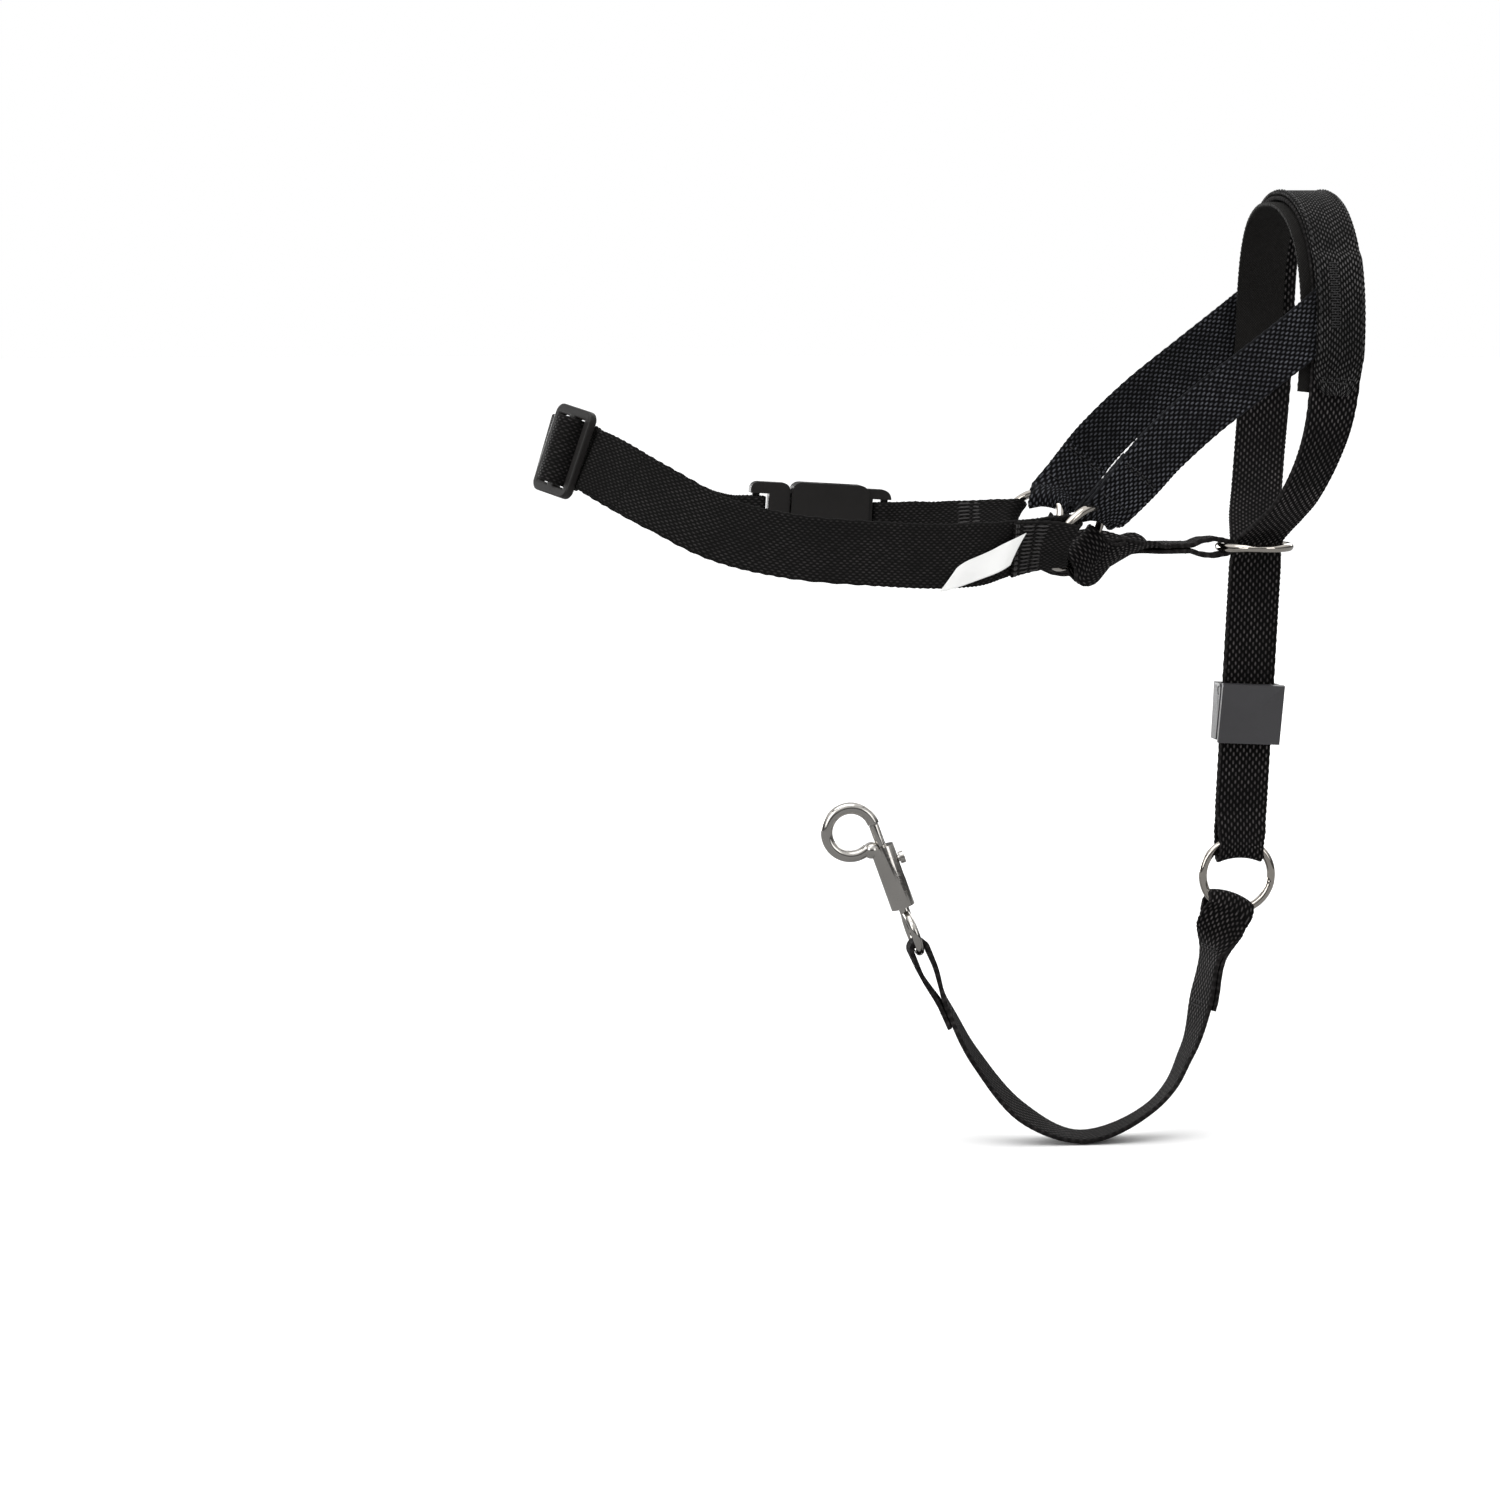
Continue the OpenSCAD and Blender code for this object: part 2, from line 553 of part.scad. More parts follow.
// face_dir points to the inside of the neck loop, so outward is negative
module neck_strap_right() {
  g = glide_t;
  hem = run(neck_full, 1.35, 0, 12, [[0, -eye_r], [0.2, -eye_r], [0.35, -2.2], [0.8, -0.85], [2, -0.85]],
    neck_width);
  ring_fold = turn(neck_full, 0, -1, -1, eye_r, gather_w, 10);
  long_run = run(neck_full, 0, plug_t, 120, [
    [0, eye_r], [0.2, eye_r], [0.35, 2.2], [0.8, 0.85], [1.6, 0.85], [2.3, 0],
    [g - 0.75, 0.4], [g - 0.5, 2.8], [g - 0.34, 2.7], [g - 0.12, -4.3], [g, -4.6],
    [g + 0.12, -4.3], [g + 0.34, 2.7], [g + 0.5, 2.8], [g + 0.9, 0],
    [plug_t - 0.8, 0], [plug_t, -bar_fold_r]
  ], neck_width);
  plug_fold = turn(neck_full, plug_t, -1, 1, bar_fold_r, neck_w, 10);
  back_run = run(neck_full, plug_t, g + 0.02, 70, [
    [g, 2.7], [g + 0.12, 3.2], [g + 0.34, 4.4], [g + 0.6, 4.5], [g + 1, 1.8],
    [plug_t - 0.8, 1.8], [plug_t, bar_fold_r]
  ], [[0, neck_w]]);
  color(web_black) ribbon(concat(hem, ring_fold, long_run, plug_fold, back_run));
}
left_line = [for (i = [neck_last:-1:neck_last - 5]) neck_full[i]];
module neck_strap_left() {
  s = neck_last - socket_t;
  inner = run(left_line, 1.35, 0, 12, [[0, eye_r], [0.2, eye_r], [0.35, 2.2], [0.8, 0.85], [2, 0.85]],
    neck_width);
  ring_fold = turn(left_line, 0, 1, -1, eye_r, gather_w, 10);
  main = run(left_line, 0, s, 24, [[0, -eye_r], [0.2, -eye_r], [0.35, -2.2], [0.8, -0.85], [s - 0.35, -0.85],
    [s, -bar_fold_r]], neck_width);
  socket_fold = turn(left_line, s, -1, 1, bar_fold_r, neck_w, 10);
  back = run(left_line, s, s - 0.75, 8, [[s - 0.75, 0.85], [s - 0.35, 0.85], [s, bar_fold_r]],
    [[0, neck_w]]);
  color(web_black) ribbon(concat(inner, ring_fold, main, socket_fold, back));
}
module right_neck_stitches() {
  for (t = [0.98, 1.2])
    stitch_patch(neck_line, t, t + 0.07, -(0.85 + web_t / 2 + 0.4), 15);
}
module neck_stitching() {
  color(web_black) {
    right_neck_stitches();
    mirror([0, 1, 0]) right_neck_stitches();
  }
}
module neck_label() {
  st = run(neck_line, 1.42, 2.95, 12, [[1.4, -1.9], [3, -1.15]], [[0, 9.5]]);
  n = len(st) - 1;
  color([0.93, 0.93, 0.9])
    ribbon([for (i = [0:n]) shift_across([st[i]], mix(0.3, -5.5, i / n))[0]], 0.25);
}

// ---------- glide ----------
bar_t = 2.8;
module tri_glide() {
  p = curve(neck_full, glide_t);
  d = tangent(neck_full, glide_t);
  w = width_dir(neck_full, glide_t);
  f = face_dir(neck_full, glide_t);
  color(plastic_black) multmatrix([
    [d[0], w[0], f[0], p[0]],
    [d[1], w[1], f[1], p[1]],
    [d[2], w[2], f[2], p[2]]
  ]) difference() {
    linear_extrude(bar_t, center = true) hull()
      for (x = [-6.5, 6.5], y = [-glide_w / 2 + 3, glide_w / 2 - 3])
        translate([x, y]) circle(3, $fn = 32);
    for (x = [-4.3, 4.3])
      translate([x, 0, 0]) cube([5.4, neck_w + 2, 10], center = true);
  }
}

// ---------- side-release buckle on the left of the neck ----------
plate_h = 7.6;
bar_r = 1.2;
cav_w = 21.6;
cav_t = 4.8;
module in_buckle() { translate(buckle_o) rotate([0, buckle_lean, 0]) children(); }
module webbing_bar(x) {
  translate([x, 0, -neck_w / 2 - 1.5]) cylinder(r = bar_r, h = neck_w + 3);
}
module rounded_bar(x0, x1, w, t, r = 2) {
  translate([x0, t / 2, 0]) rotate([90, 0, 0]) linear_extrude(t) hull()
    for (x = [x0 + r, x1 - r], z = [-w / 2 + r, w / 2 - r])
      translate([x - x0, z]) circle(r, $fn = 32);
}
module buckle_socket() {
  color(plastic_black) in_buckle() {
    difference() {
      union() {
        rounded_bar(0, 24.5, buckle_w, plate_h, 3);
        rounded_bar(21, socket_bar + 2, buckle_w - 2, 4.4, 3);
      }
      translate([-1, -cav_t / 2, -cav_w / 2]) cube([22, cav_t, cav_w]);
      translate([10.4, -cav_t / 2, -20]) cube([8.4, cav_t, 40]);
      translate([socket_bar - 3.9, -5, -neck_w / 2 - 0.9]) cube([10, 10, neck_w + 1.8]);
    }
    webbing_bar(socket_bar);
  }
}
module buckle_plug() {
  color(plastic_black) in_buckle() {
    difference() {
      union() {
        rounded_bar(plug_bar - 2, -0.4, buckle_w - 1, 5.2, 2.5);
        translate([-1, -1.6, -2.4]) cube([19.5, 3.2, 4.8]);
      }
      translate([plug_bar - 6.1, -5, -neck_w / 2 - 0.9]) cube([10, 10, neck_w + 1.8]);
      for (s = [-1, 1])
        translate([-2.7, -2.3, s * 8.2 - 1.8]) cube([4, 4.6, 3.6]);
    }
    webbing_bar(plug_bar);
  }
}
// One latch arm: root, slim beam and a barbed head that shows in the socket's side window
module latch_arm() {
  translate([0, 2, 0]) rotate([90, 0, 0]) linear_extrude(4)
    polygon([[-2.2, 7.2], [16.6, 8.4], [18, 9.2], [18.4, 10.2], [17.2, 12], [11.1, 13.1],
      [10.8, 10.1], [0, 9.2], [-2.2, 9.2]]);
}
module buckle_arm_upper() { color(plastic_black) in_buckle() latch_arm(); }
module buckle_arm_lower() { color(plastic_black) in_buckle() mirror([0, 0, 1]) latch_arm(); }

nose_strap();
nose_overlay();
nose_lining();
overlay_bartacks();
cheek_strap_right();
cheek_strap_left();
cheek_stitching();
cheek_ring_right();
cheek_ring_left();
chin_strap();
chin_stitching();
chin_ring();
clamp_base();
clamp_lever();
lead_ring();
safety_strap();
safety_stitching();
snap_swivel();
snap_hook();
snap_plunger();
snap_spring();
neck_strap_right();
neck_strap_left();
neck_stitching();
neck_label();
tri_glide();
buckle_plug();
buckle_arm_upper();
buckle_arm_lower();
buckle_socket();
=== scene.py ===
import math

import bpy
import numpy as np
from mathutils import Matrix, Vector


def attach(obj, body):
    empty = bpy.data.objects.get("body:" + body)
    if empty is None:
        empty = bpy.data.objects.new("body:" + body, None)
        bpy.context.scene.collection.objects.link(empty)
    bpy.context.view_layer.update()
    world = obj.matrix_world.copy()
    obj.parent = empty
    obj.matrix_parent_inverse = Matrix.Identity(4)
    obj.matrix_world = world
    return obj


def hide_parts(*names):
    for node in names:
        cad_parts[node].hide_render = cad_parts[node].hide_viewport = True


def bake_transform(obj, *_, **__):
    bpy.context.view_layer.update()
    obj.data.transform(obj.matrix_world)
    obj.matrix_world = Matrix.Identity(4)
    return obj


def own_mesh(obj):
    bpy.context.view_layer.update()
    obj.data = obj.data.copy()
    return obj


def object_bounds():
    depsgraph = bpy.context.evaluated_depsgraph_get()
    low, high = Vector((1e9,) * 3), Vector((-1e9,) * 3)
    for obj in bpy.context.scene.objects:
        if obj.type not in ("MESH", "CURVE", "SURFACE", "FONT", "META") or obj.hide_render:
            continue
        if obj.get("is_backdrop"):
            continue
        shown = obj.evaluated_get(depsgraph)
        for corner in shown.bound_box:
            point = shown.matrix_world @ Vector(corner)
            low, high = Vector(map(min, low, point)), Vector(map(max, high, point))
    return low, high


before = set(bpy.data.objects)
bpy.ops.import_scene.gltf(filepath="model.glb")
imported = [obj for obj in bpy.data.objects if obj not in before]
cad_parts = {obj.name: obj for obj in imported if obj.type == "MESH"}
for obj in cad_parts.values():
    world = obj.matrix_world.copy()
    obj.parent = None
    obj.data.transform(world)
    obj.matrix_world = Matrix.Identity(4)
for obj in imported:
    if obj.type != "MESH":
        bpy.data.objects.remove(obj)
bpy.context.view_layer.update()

# All sizes are in millimetres; MM turns them into Blender's metres.
MM = 0.001

# ---------- driving dimensions, the same as the CAD part's ----------
STRAP_W = 16.0
NECK_W = 19.0
WEB_T = 1.4
GATHER_W = 12.8             # width of 16 mm webbing where it gathers in a ring
RING_R = 10.75              # radius of a ring, to the middle of its wire
WIRE_R = 1.25
LAYER = WEB_T + 0.25        # pitch of layers sewn flat on each other
HALF_LAY = 0.85             # from the middle of a hem to the middle of either of its two layers
HEM_FACE = HALF_LAY + WEB_T / 2
TIGHT_EYE = WIRE_R + 0.2 + WEB_T / 2    # radius of a fold that hugs the ring's wire
LOOSE_EYE = 2.6             # radius of a fold that hangs loose on it
TIGHT_IN = 0.3              # how far a fold's centre lies inside the ring's wire circle
LOOSE_IN = 1.9
MUZZLE = 43.0               # half width of the muzzle loop
NECK = 57.5                 # half width of the neck band
CHIN_Z = 101.5
LEAD_LEAN = math.radians(2.8)
CHEEK_LEAN = math.radians(55)
CHEEK_PITCH = math.radians(50)
# where each strap's fold sits round its ring
CHEEK_AT, NECK_AT, CHIN_AT, SAFETY_AT = (math.radians(a) for a in (-10, 126, -95, 254))
CHEEK_C = np.array([-58.5, -36.0, 107.2])
CHIN_C = np.array([4.4, 0.0, CHIN_Z])
FLIP = np.array([1.0, -1.0, 1.0])
STEP = 0.8                  # length of one mesh row along a strap


# ---------- curves ----------
def unit(v):
    v = np.asarray(v, float)
    return v / np.linalg.norm(v, axis=-1, keepdims=True)


def smooth(u):
    u = np.clip(u, 0, 1)
    return u * u * (3 - 2 * u)


def eased(t, keys):
    """The value at t of a list of (t, value) keys, eased from each key to the next."""
    xs = np.array([k[0] for k in keys], float)
    ys = np.array([k[1] for k in keys], float)
    if len(keys) == 1:
        return np.full(np.shape(t), ys[0])
    i = np.clip(np.searchsorted(xs, t) - 1, 0, len(xs) - 2)
    return ys[i] + (ys[i + 1] - ys[i]) * smooth((t - xs[i]) / (xs[i + 1] - xs[i]))


class Line:
    """A centripetal Catmull-Rom curve through knots, each a point and a direction across the webbing."""

    def __init__(self, knots):
        self.knots = np.array([list(p) + list(w) for p, w in knots], float)
        self.last = len(knots) - 1

    def at(self, t):
        t = np.clip(np.atleast_1d(np.asarray(t, float)), 0, self.last)
        k = self.knots
        i = np.clip(np.floor(t).astype(int), 0, self.last - 1)
        p1, p2 = k[i], k[i + 1]
        p0 = np.where((i > 0)[:, None], k[i - 1], 2 * p1 - p2)
        p3 = np.where((i < self.last - 1)[:, None], k[np.minimum(i + 2, self.last)], 2 * p2 - p1)

        def gap(a, b):
            return np.sqrt(np.maximum(np.linalg.norm((b - a)[:, :3], axis=1), 0.001))[:, None]

        def between(a, b, ta, tb, s):
            return a * ((tb - s) / (tb - ta)) + b * ((s - ta) / (tb - ta))

        t1 = gap(p0, p1)
        t2 = t1 + gap(p1, p2)
        t3 = t2 + gap(p2, p3)
        s = t1 + (t2 - t1) * (t - i)[:, None]
        a1 = between(p0, p1, 0, t1, s)
        a2 = between(p1, p2, t1, t2, s)
        a3 = between(p2, p3, t2, t3, s)
        b1 = between(a1, a2, 0, t2, s)
        b2 = between(a2, a3, t1, t3, s)
        return between(b1, b2, t1, t2, s)

    def axes(self, t):
        """Point, along, across and face directions at t."""
        t = np.atleast_1d(np.asarray(t, float))
        here = self.at(t)
        after = self.at(np.minimum(t + 0.02, self.last))
        before = self.at(np.maximum(t - 0.02, 0))
        along = unit(after[:, :3] - before[:, :3])
        across = here[:, 3:]
        across = unit(across - (across * along).sum(1, keepdims=True) * along)
        return here[:, :3], along, across, np.cross(along, across)

    def length(self, t0, t1):
        p = self.at(np.linspace(t0, t1, 80))[:, :3]
        return np.linalg.norm(np.diff(p, axis=0), axis=1).sum()


def knots_mirrored(knots):
    """The same knots on the other side of the head, in the same order."""
    return [(np.array(p) * FLIP, np.array(w) * FLIP) for p, w in knots]


# A station is one row of a ribbon: centre (3), direction across (3), width (1).
def run(line, t0, t1, off, width, step=STEP):
    """Stations along a line from t0 to t1; off and width are keys for eased()."""
    count = max(2, math.ceil(line.length(t0, t1) / step))
    t = np.linspace(t0, t1, count + 1)
    p, _, across, face = line.axes(t)
    return np.hstack([p + face * eased(t, off)[:, None], across, eased(t, width)[:, None]])


def turn(line, t, side, ahead, radius, width, steps=16):
    """A half-turn fold past the line's point t; side is the layer that it starts from."""
    p, along, across, face = (v[0] for v in line.axes(t))
    a = np.pi * np.arange(1, steps) / steps
    arc = p + (np.outer(np.cos(a), face * side) + np.outer(np.sin(a), along * ahead)) * radius
    return np.hstack([arc, np.tile(across, (len(a), 1)), np.full((len(a), 1), width)])


def flipped(stations):
    """The same stations on the other side of the head."""
    out = stations.copy()
    out[:, 1] *= -1
    out[:, 4] *= -1
    return out


# ---------- meshes ----------
def new_mesh(name, verts, faces, uvs=None):
    mesh = bpy.data.meshes.new(name)
    mesh.from_pydata((np.asarray(verts) * MM).tolist(), [], [list(map(int, f)) for f in faces])
    if uvs is not None:
        layer = mesh.uv_layers.new(name="UVMap")
        layer.data.foreach_set("uv", np.asarray(uvs, np.float32).ravel())
    mesh.polygons.foreach_set("use_smooth", [True] * len(mesh.polygons))
    mesh.update()
    obj = bpy.data.objects.new(name, mesh)
    bpy.context.scene.collection.objects.link(obj)
    return obj


def section_outline(columns, edge):
    """(across, height) pairs from -1 to 1 round a flat strap whose edges are rounded."""
    flat = np.linspace(1 - edge, -1 + edge, columns)
    side = [(-1 + 0.28 * edge, 0.72), (-1, 0), (-1 + 0.28 * edge, -0.72)]
    top = [(a, 1) for a in flat]
    bottom = [(-a, -1) for a in flat]
    return np.array(top + side + bottom + [(-a, -h) for a, h in side])


def ribbon(name, st, nominal, closed=False, wraps=(), columns=16, pitch=1.75):
    """A woven strap along its stations, of webbing that is nominal wide, with a ripple along its edges.
    Each wrap bows the strap to fit a ring's wire and is the fold's centre, the direction to the ring's
    centre, an amount and a reach."""
    c, w, width = st[:, :3], st[:, 3:6], st[:, 6]
    n = len(st)
    d = unit(np.roll(c, -1, 0) - np.roll(c, 1, 0)) if closed else unit(np.gradient(c, axis=0))
    w = unit(w - (w * d).sum(1, keepdims=True) * d)
    f = unit(np.cross(d, w))
    steps = np.linalg.norm(np.diff(c, axis=0), axis=1)
    length = np.concatenate([[0], np.cumsum(steps)])
    outline = section_outline(columns, 0.8 * WEB_T / nominal)
    a, h = outline[:, 0], outline[:, 1]
    m = len(a)
    selvedge = np.where(np.abs(a) > 1 - WEB_T / nominal, 1.0, 0.0)
    ripple = 1 + 0.014 * selvedge[None, :] * np.sin(2 * np.pi * length[:, None] / pitch)
    x = a[None, :] * width[:, None] / 2 * ripple
    pts = c[:, None] + w[:, None] * x[..., None] + f[:, None] * (h * WEB_T / 2)[None, :, None]
    for centre, direction, amount, reach in wraps:
        beyond_fold = np.linalg.norm(c - centre, axis=1) - 4
        weight = smooth(1 - beyond_fold / reach) * amount
        drop = RING_R - np.sqrt(RING_R ** 2 - np.minimum(np.abs(x), RING_R * 0.9) ** 2)
        pts = pts + (weight[:, None] * drop)[..., None] * np.asarray(direction)
    i, j = np.meshgrid(np.arange(n if closed else n - 1), np.arange(m), indexing="ij")
    i2, j2 = (i + 1) % n, (j + 1) % m
    quads = np.stack([i * m + j, i * m + j2, i2 * m + j2, i2 * m + j], -1).reshape(-1, 4)
    # The UV map is in millimetres: along the strap, and across it from the middle.
    v = a * nominal / 2
    long = np.append(length, length[-1] + np.linalg.norm(c[0] - c[-1]))
    uv = np.stack([
        np.stack([long[i], v[j]], -1), np.stack([long[i], v[j2]], -1),
        np.stack([long[i + 1], v[j2]], -1), np.stack([long[i + 1], v[j]], -1)], -2).reshape(-1, 2)
    faces = [list(q) for q in quads]
    if not closed:
        for row, order in ((0, range(m - 1, -1, -1)), (n - 1, range(m))):
            faces.append([row * m + k for k in order])
            uv = np.vstack([uv, [[long[row], v[k]] for k in order]])
    return new_mesh(name, pts.reshape(-1, 3), faces, uv)


def torus(name, centre, normal):
    """A wire ring with a faint flattened weld."""
    around, sides = 144, 28
    n = unit(normal)
    u = unit(np.cross(n, [0.3, 0.2, 1.0]))
    v = np.cross(n, u)
    a = 2 * np.pi * np.arange(around) / around
    b = 2 * np.pi * np.arange(sides) / sides
    spoke = np.outer(np.cos(a), u) + np.outer(np.sin(a), v)
    weld = np.minimum(a, 2 * np.pi - a) * RING_R      # distance from the weld, along the wire
    r = WIRE_R * (1 + 0.05 * np.exp(-((weld - 0.5) / 0.3) ** 2) - 0.04 * np.exp(-(weld / 0.22) ** 2))
    pts = centre + spoke[:, None] * (RING_R + np.outer(r, np.cos(b)))[..., None] \
        + n * np.outer(r, np.sin(b))[..., None]
    i, j = np.meshgrid(np.arange(around), np.arange(sides), indexing="ij")
    i2, j2 = (i + 1) % around, (j + 1) % sides
    quads = np.stack([i * sides + j, i2 * sides + j, i2 * sides + j2, i * sides + j2], -1).reshape(-1, 4)
    return new_mesh(name, pts.reshape(-1, 3), quads)


def stitches(name, pairs, radius=0.24):
    """Short threads, each from one point to another, that dip into the webbing at both ends."""
    sides, rows, bow = 8, 7, 0.16
    ring = 2 * np.pi * np.arange(sides) / sides
    u = np.linspace(0, 1, rows)
    swell = np.sqrt(np.clip(1 - (2 * u - 1) ** 4, 0.04, 1))
    verts, faces = [], []
    for p, q, up in pairs:
        p, q, up = np.array(p, float), np.array(q, float), np.array(up, float)
        d = unit(q - p)
        side = unit(np.cross(d, up))
        base = len(verts) * sides * rows
        lift = bow * np.sin(np.pi * u)
        mid = p + np.outer(u, q - p) + np.outer(lift, up)
        pts = mid[:, None] + radius * swell[:, None, None] * (
            np.cos(ring)[None, :, None] * side + np.sin(ring)[None, :, None] * up)
        verts.append(pts.reshape(-1, 3))
        for i in range(rows - 1):
            for j in range(sides):
                k = (j + 1) % sides
                faces.append([base + i * sides + j, base + i * sides + k,
                              base + (i + 1) * sides + k, base + (i + 1) * sides + j])
        faces.append([base + j for j in range(sides)][::-1])
        faces.append([base + (rows - 1) * sides + j for j in range(sides)])
    return new_mesh(name, np.vstack(verts), faces)


def stitch_row(line, t0, t1, x, height, long=2.2, space=0.5):
    """Stitches that run along a line's webbing at the place x across it, height above its face."""
    count = max(1, round(line.length(t0, t1) / (long + space)))
    pairs = []
    for k in range(count):
        a = t0 + (t1 - t0) * k / count
        b = a + (t1 - t0) / count * long / (long + space)
        p, _, w, f = line.axes([a, b])
        up = f[0] * np.sign(height)
        pairs.append((p[0] + w[0] * x + f[0] * height, p[1] + w[1] * x + f[1] * height, up))
    return pairs


def stitch_across(line, t, x0, x1, height, count):
    """A row of stitches across a line's webbing."""
    p, _, w, f = (v[0] for v in line.axes(t))
    up = f * np.sign(height)
    edges = np.linspace(x0, x1, count + 1)
    short = (x1 - x0) / count * 0.12        # half the gap between two stitches
    return [(p + w * (a + short) + f * height, p + w * (b - short) + f * height, up)
            for a, b in zip(edges[:-1], edges[1:])]


# ---------- materials ----------
class Nodes:
    """A small helper that builds a material's node tree."""

    def __init__(self, name):
        self.material = bpy.data.materials.new(name)
        self.material.use_nodes = True
        self.tree = self.material.node_tree
        self.shader = self.tree.nodes["Principled BSDF"]

    def put(self, socket, value):
        if isinstance(value, bpy.types.NodeSocket):
            self.tree.links.new(value, socket)
        else:
            socket.default_value = value

    def math(self, operation, a, b=0.0, c=None):
        node = self.tree.nodes.new("ShaderNodeMath")
        node.operation = operation
        self.put(node.inputs[0], a)
        self.put(node.inputs[1], b)
        if c is not None:
            self.put(node.inputs[2], c)
        return node.outputs[0]

    def noise(self, scale, detail=2.0, stretch=(1, 1, 1)):
        place = self.tree.nodes.new("ShaderNodeTexCoord")
        mapping = self.tree.nodes.new("ShaderNodeMapping")
        mapping.inputs["Scale"].default_value = stretch
        self.put(mapping.inputs[0], place.outputs["Object"])
        node = self.tree.nodes.new("ShaderNodeTexNoise")
        self.put(node.inputs["Vector"], mapping.outputs[0])
        node.inputs["Scale"].default_value = scale
        node.inputs["Detail"].default_value = detail
        return node.outputs["Fac"]

    def spread(self, value, low, high, to_low=0.0, to_high=1.0):
        """Value eased from the range low to high into the range to_low to to_high."""
        node = self.tree.nodes.new("ShaderNodeMapRange")
        node.interpolation_type = "SMOOTHSTEP"
        for k, v in enumerate((value, low, high, to_low, to_high)):
            self.put(node.inputs[k], v)
        return node.outputs[0]

    def mix(self, factor, a, b):
        node = self.tree.nodes.new("ShaderNodeMix")
        node.data_type = "RGBA"
        self.put(node.inputs[0], factor)
        self.put(node.inputs[6], a if isinstance(a, bpy.types.NodeSocket) else (*a, 1))
        self.put(node.inputs[7], b if isinstance(b, bpy.types.NodeSocket) else (*b, 1))
        return node.outputs[2]

    def bump(self, height, distance, strength=1.0):
        node = self.tree.nodes.new("ShaderNodeBump")
        node.inputs["Strength"].default_value = strength
        node.inputs["Distance"].default_value = distance
        self.put(node.inputs["Height"], height)
        return node.outputs[0]

    def set(self, **values):
        names = {"color": "Base Color", "rough": "Roughness", "metal": "Metallic", "normal": "Normal",
                 "specular": "Specular IOR Level"}
        for key, value in values.items():
            if key == "color" and not isinstance(value, bpy.types.NodeSocket):
                value = (*value, 1)
            self.put(self.shader.inputs[names[key]], value)
        return self.material


def woven(name, shaded_gap_colour, light, across=0.87, along=2.4, chevron=0.0, depth=0.2, contrast=(0.3, 0.98),
          half=7.6):
    """Nylon webbing: staggered columns of warp floats, read from the strap's own UV in millimetres.
    Across and along are the size of one float, and depth is its height. Half is the distance from the
    middle at which the floats fade into a plain selvedge."""
    n = Nodes(name)
    uv = n.tree.nodes.new("ShaderNodeUVMap")
    uv.uv_map = "UVMap"
    split = n.tree.nodes.new("ShaderNodeSeparateXYZ")
    n.put(split.inputs[0], uv.outputs[0])
    u, v = split.outputs[0], split.outputs[1]
    wander = n.math("MULTIPLY", n.math("SUBTRACT", n.noise(170, 2), 0.5), 0.55)
    column = n.math("ADD", n.math("DIVIDE", v, across), n.math("MULTIPLY", wander, 0.3))
    stagger = n.math("MULTIPLY", n.math("PINGPONG", n.math("FLOOR", column), 1.0), 0.5)
    if chevron:
        stagger = n.math("ADD", stagger, n.math("MULTIPLY", n.math("PINGPONG", v, chevron), 0.24))
    row = n.math("ADD", n.math("ADD", n.math("DIVIDE", u, along), stagger), n.math("MULTIPLY", wander, 0.5))
    ridge = n.math("SINE", n.math("MULTIPLY", n.math("FRACT", column), math.pi))
    float_ = n.math("SINE", n.math("MULTIPLY", n.math("FRACT", row), math.pi))
    oval = n.math("MULTIPLY", ridge, n.math("POWER", float_, 1.3))
    # The colour darkens with the floats' height: the weave's own pattern, with painted shade in the gaps
    # between the floats.
    tone = n.spread(oval, contrast[0], contrast[1])
    edge = n.spread(n.math("ABSOLUTE", v, 0), half - 0.3, half + 0.1)
    kept = n.math("SUBTRACT", 1.0, n.math("MULTIPLY", edge, 0.8))
    tone = n.math("ADD", n.math("MULTIPLY", tone, kept), n.math("MULTIPLY", edge, 0.12))
    patch = n.spread(n.noise(60, 3), 0.3, 0.75, 0.5, 1.1)
    fleck = n.spread(n.noise(750, 2), 0.3, 0.7, 0.45, 1.35)
    # Mix from the gap colour, which holds painted shade between the floats, to the floats' own colour.
    colour = n.mix(n.math("MULTIPLY", n.math("MULTIPLY", tone, patch), fleck), shaded_gap_colour, light)
    normal = n.bump(oval, depth * MM, 1.0)
    return n.set(color=colour, rough=n.spread(tone, 0, 1, 0.9, 0.6), normal=normal, specular=0.12)


def plain_thread(name, colour):
    """Twisted sewing thread."""
    n = Nodes(name)
    twist = n.tree.nodes.new("ShaderNodeTexWave")
    place = n.tree.nodes.new("ShaderNodeTexCoord")
    n.put(twist.inputs["Vector"], place.outputs["Object"])
    twist.inputs["Scale"].default_value = 900
    shade = n.mix(n.noise(700), [c * 0.6 for c in colour], [c * 1.4 for c in colour])
    return n.set(color=shade, rough=0.5, specular=0.25, normal=n.bump(twist.outputs["Fac"], 0.05 * MM, 0.6))


def satin(name, colour):
    """The blank white label: fine satin ribbon."""
    n = Nodes(name)
    lines = n.tree.nodes.new("ShaderNodeTexWave")
    lines.bands_direction = "X"
    place = n.tree.nodes.new("ShaderNodeTexCoord")
    n.put(lines.inputs["Vector"], place.outputs["UV"])
    lines.inputs["Scale"].default_value = 1.3
    soil = n.mix(n.spread(n.noise(90, 4), 0.45, 0.8), colour, [c * 0.9 for c in colour])
    return n.set(color=soil, rough=0.5, normal=n.bump(lines.outputs["Fac"], 0.03 * MM, 0.5))


def moulded(name, colour, rough=0.42, grain=0.03, specular=0.3):
    """Moulded plastic with a fine spark-eroded grain."""
    n = Nodes(name)
    fine = n.noise(2600, 2)
    cloud = n.spread(n.noise(60, 2), 0.3, 0.7)
    shade = n.mix(cloud, [c * 0.94 for c in colour], [c * 1.05 for c in colour])
    return n.set(color=shade, rough=n.spread(fine, 0.3, 0.7, rough - 0.04, rough + 0.08),
                 normal=n.bump(fine, grain * MM, 0.6), specular=specular)


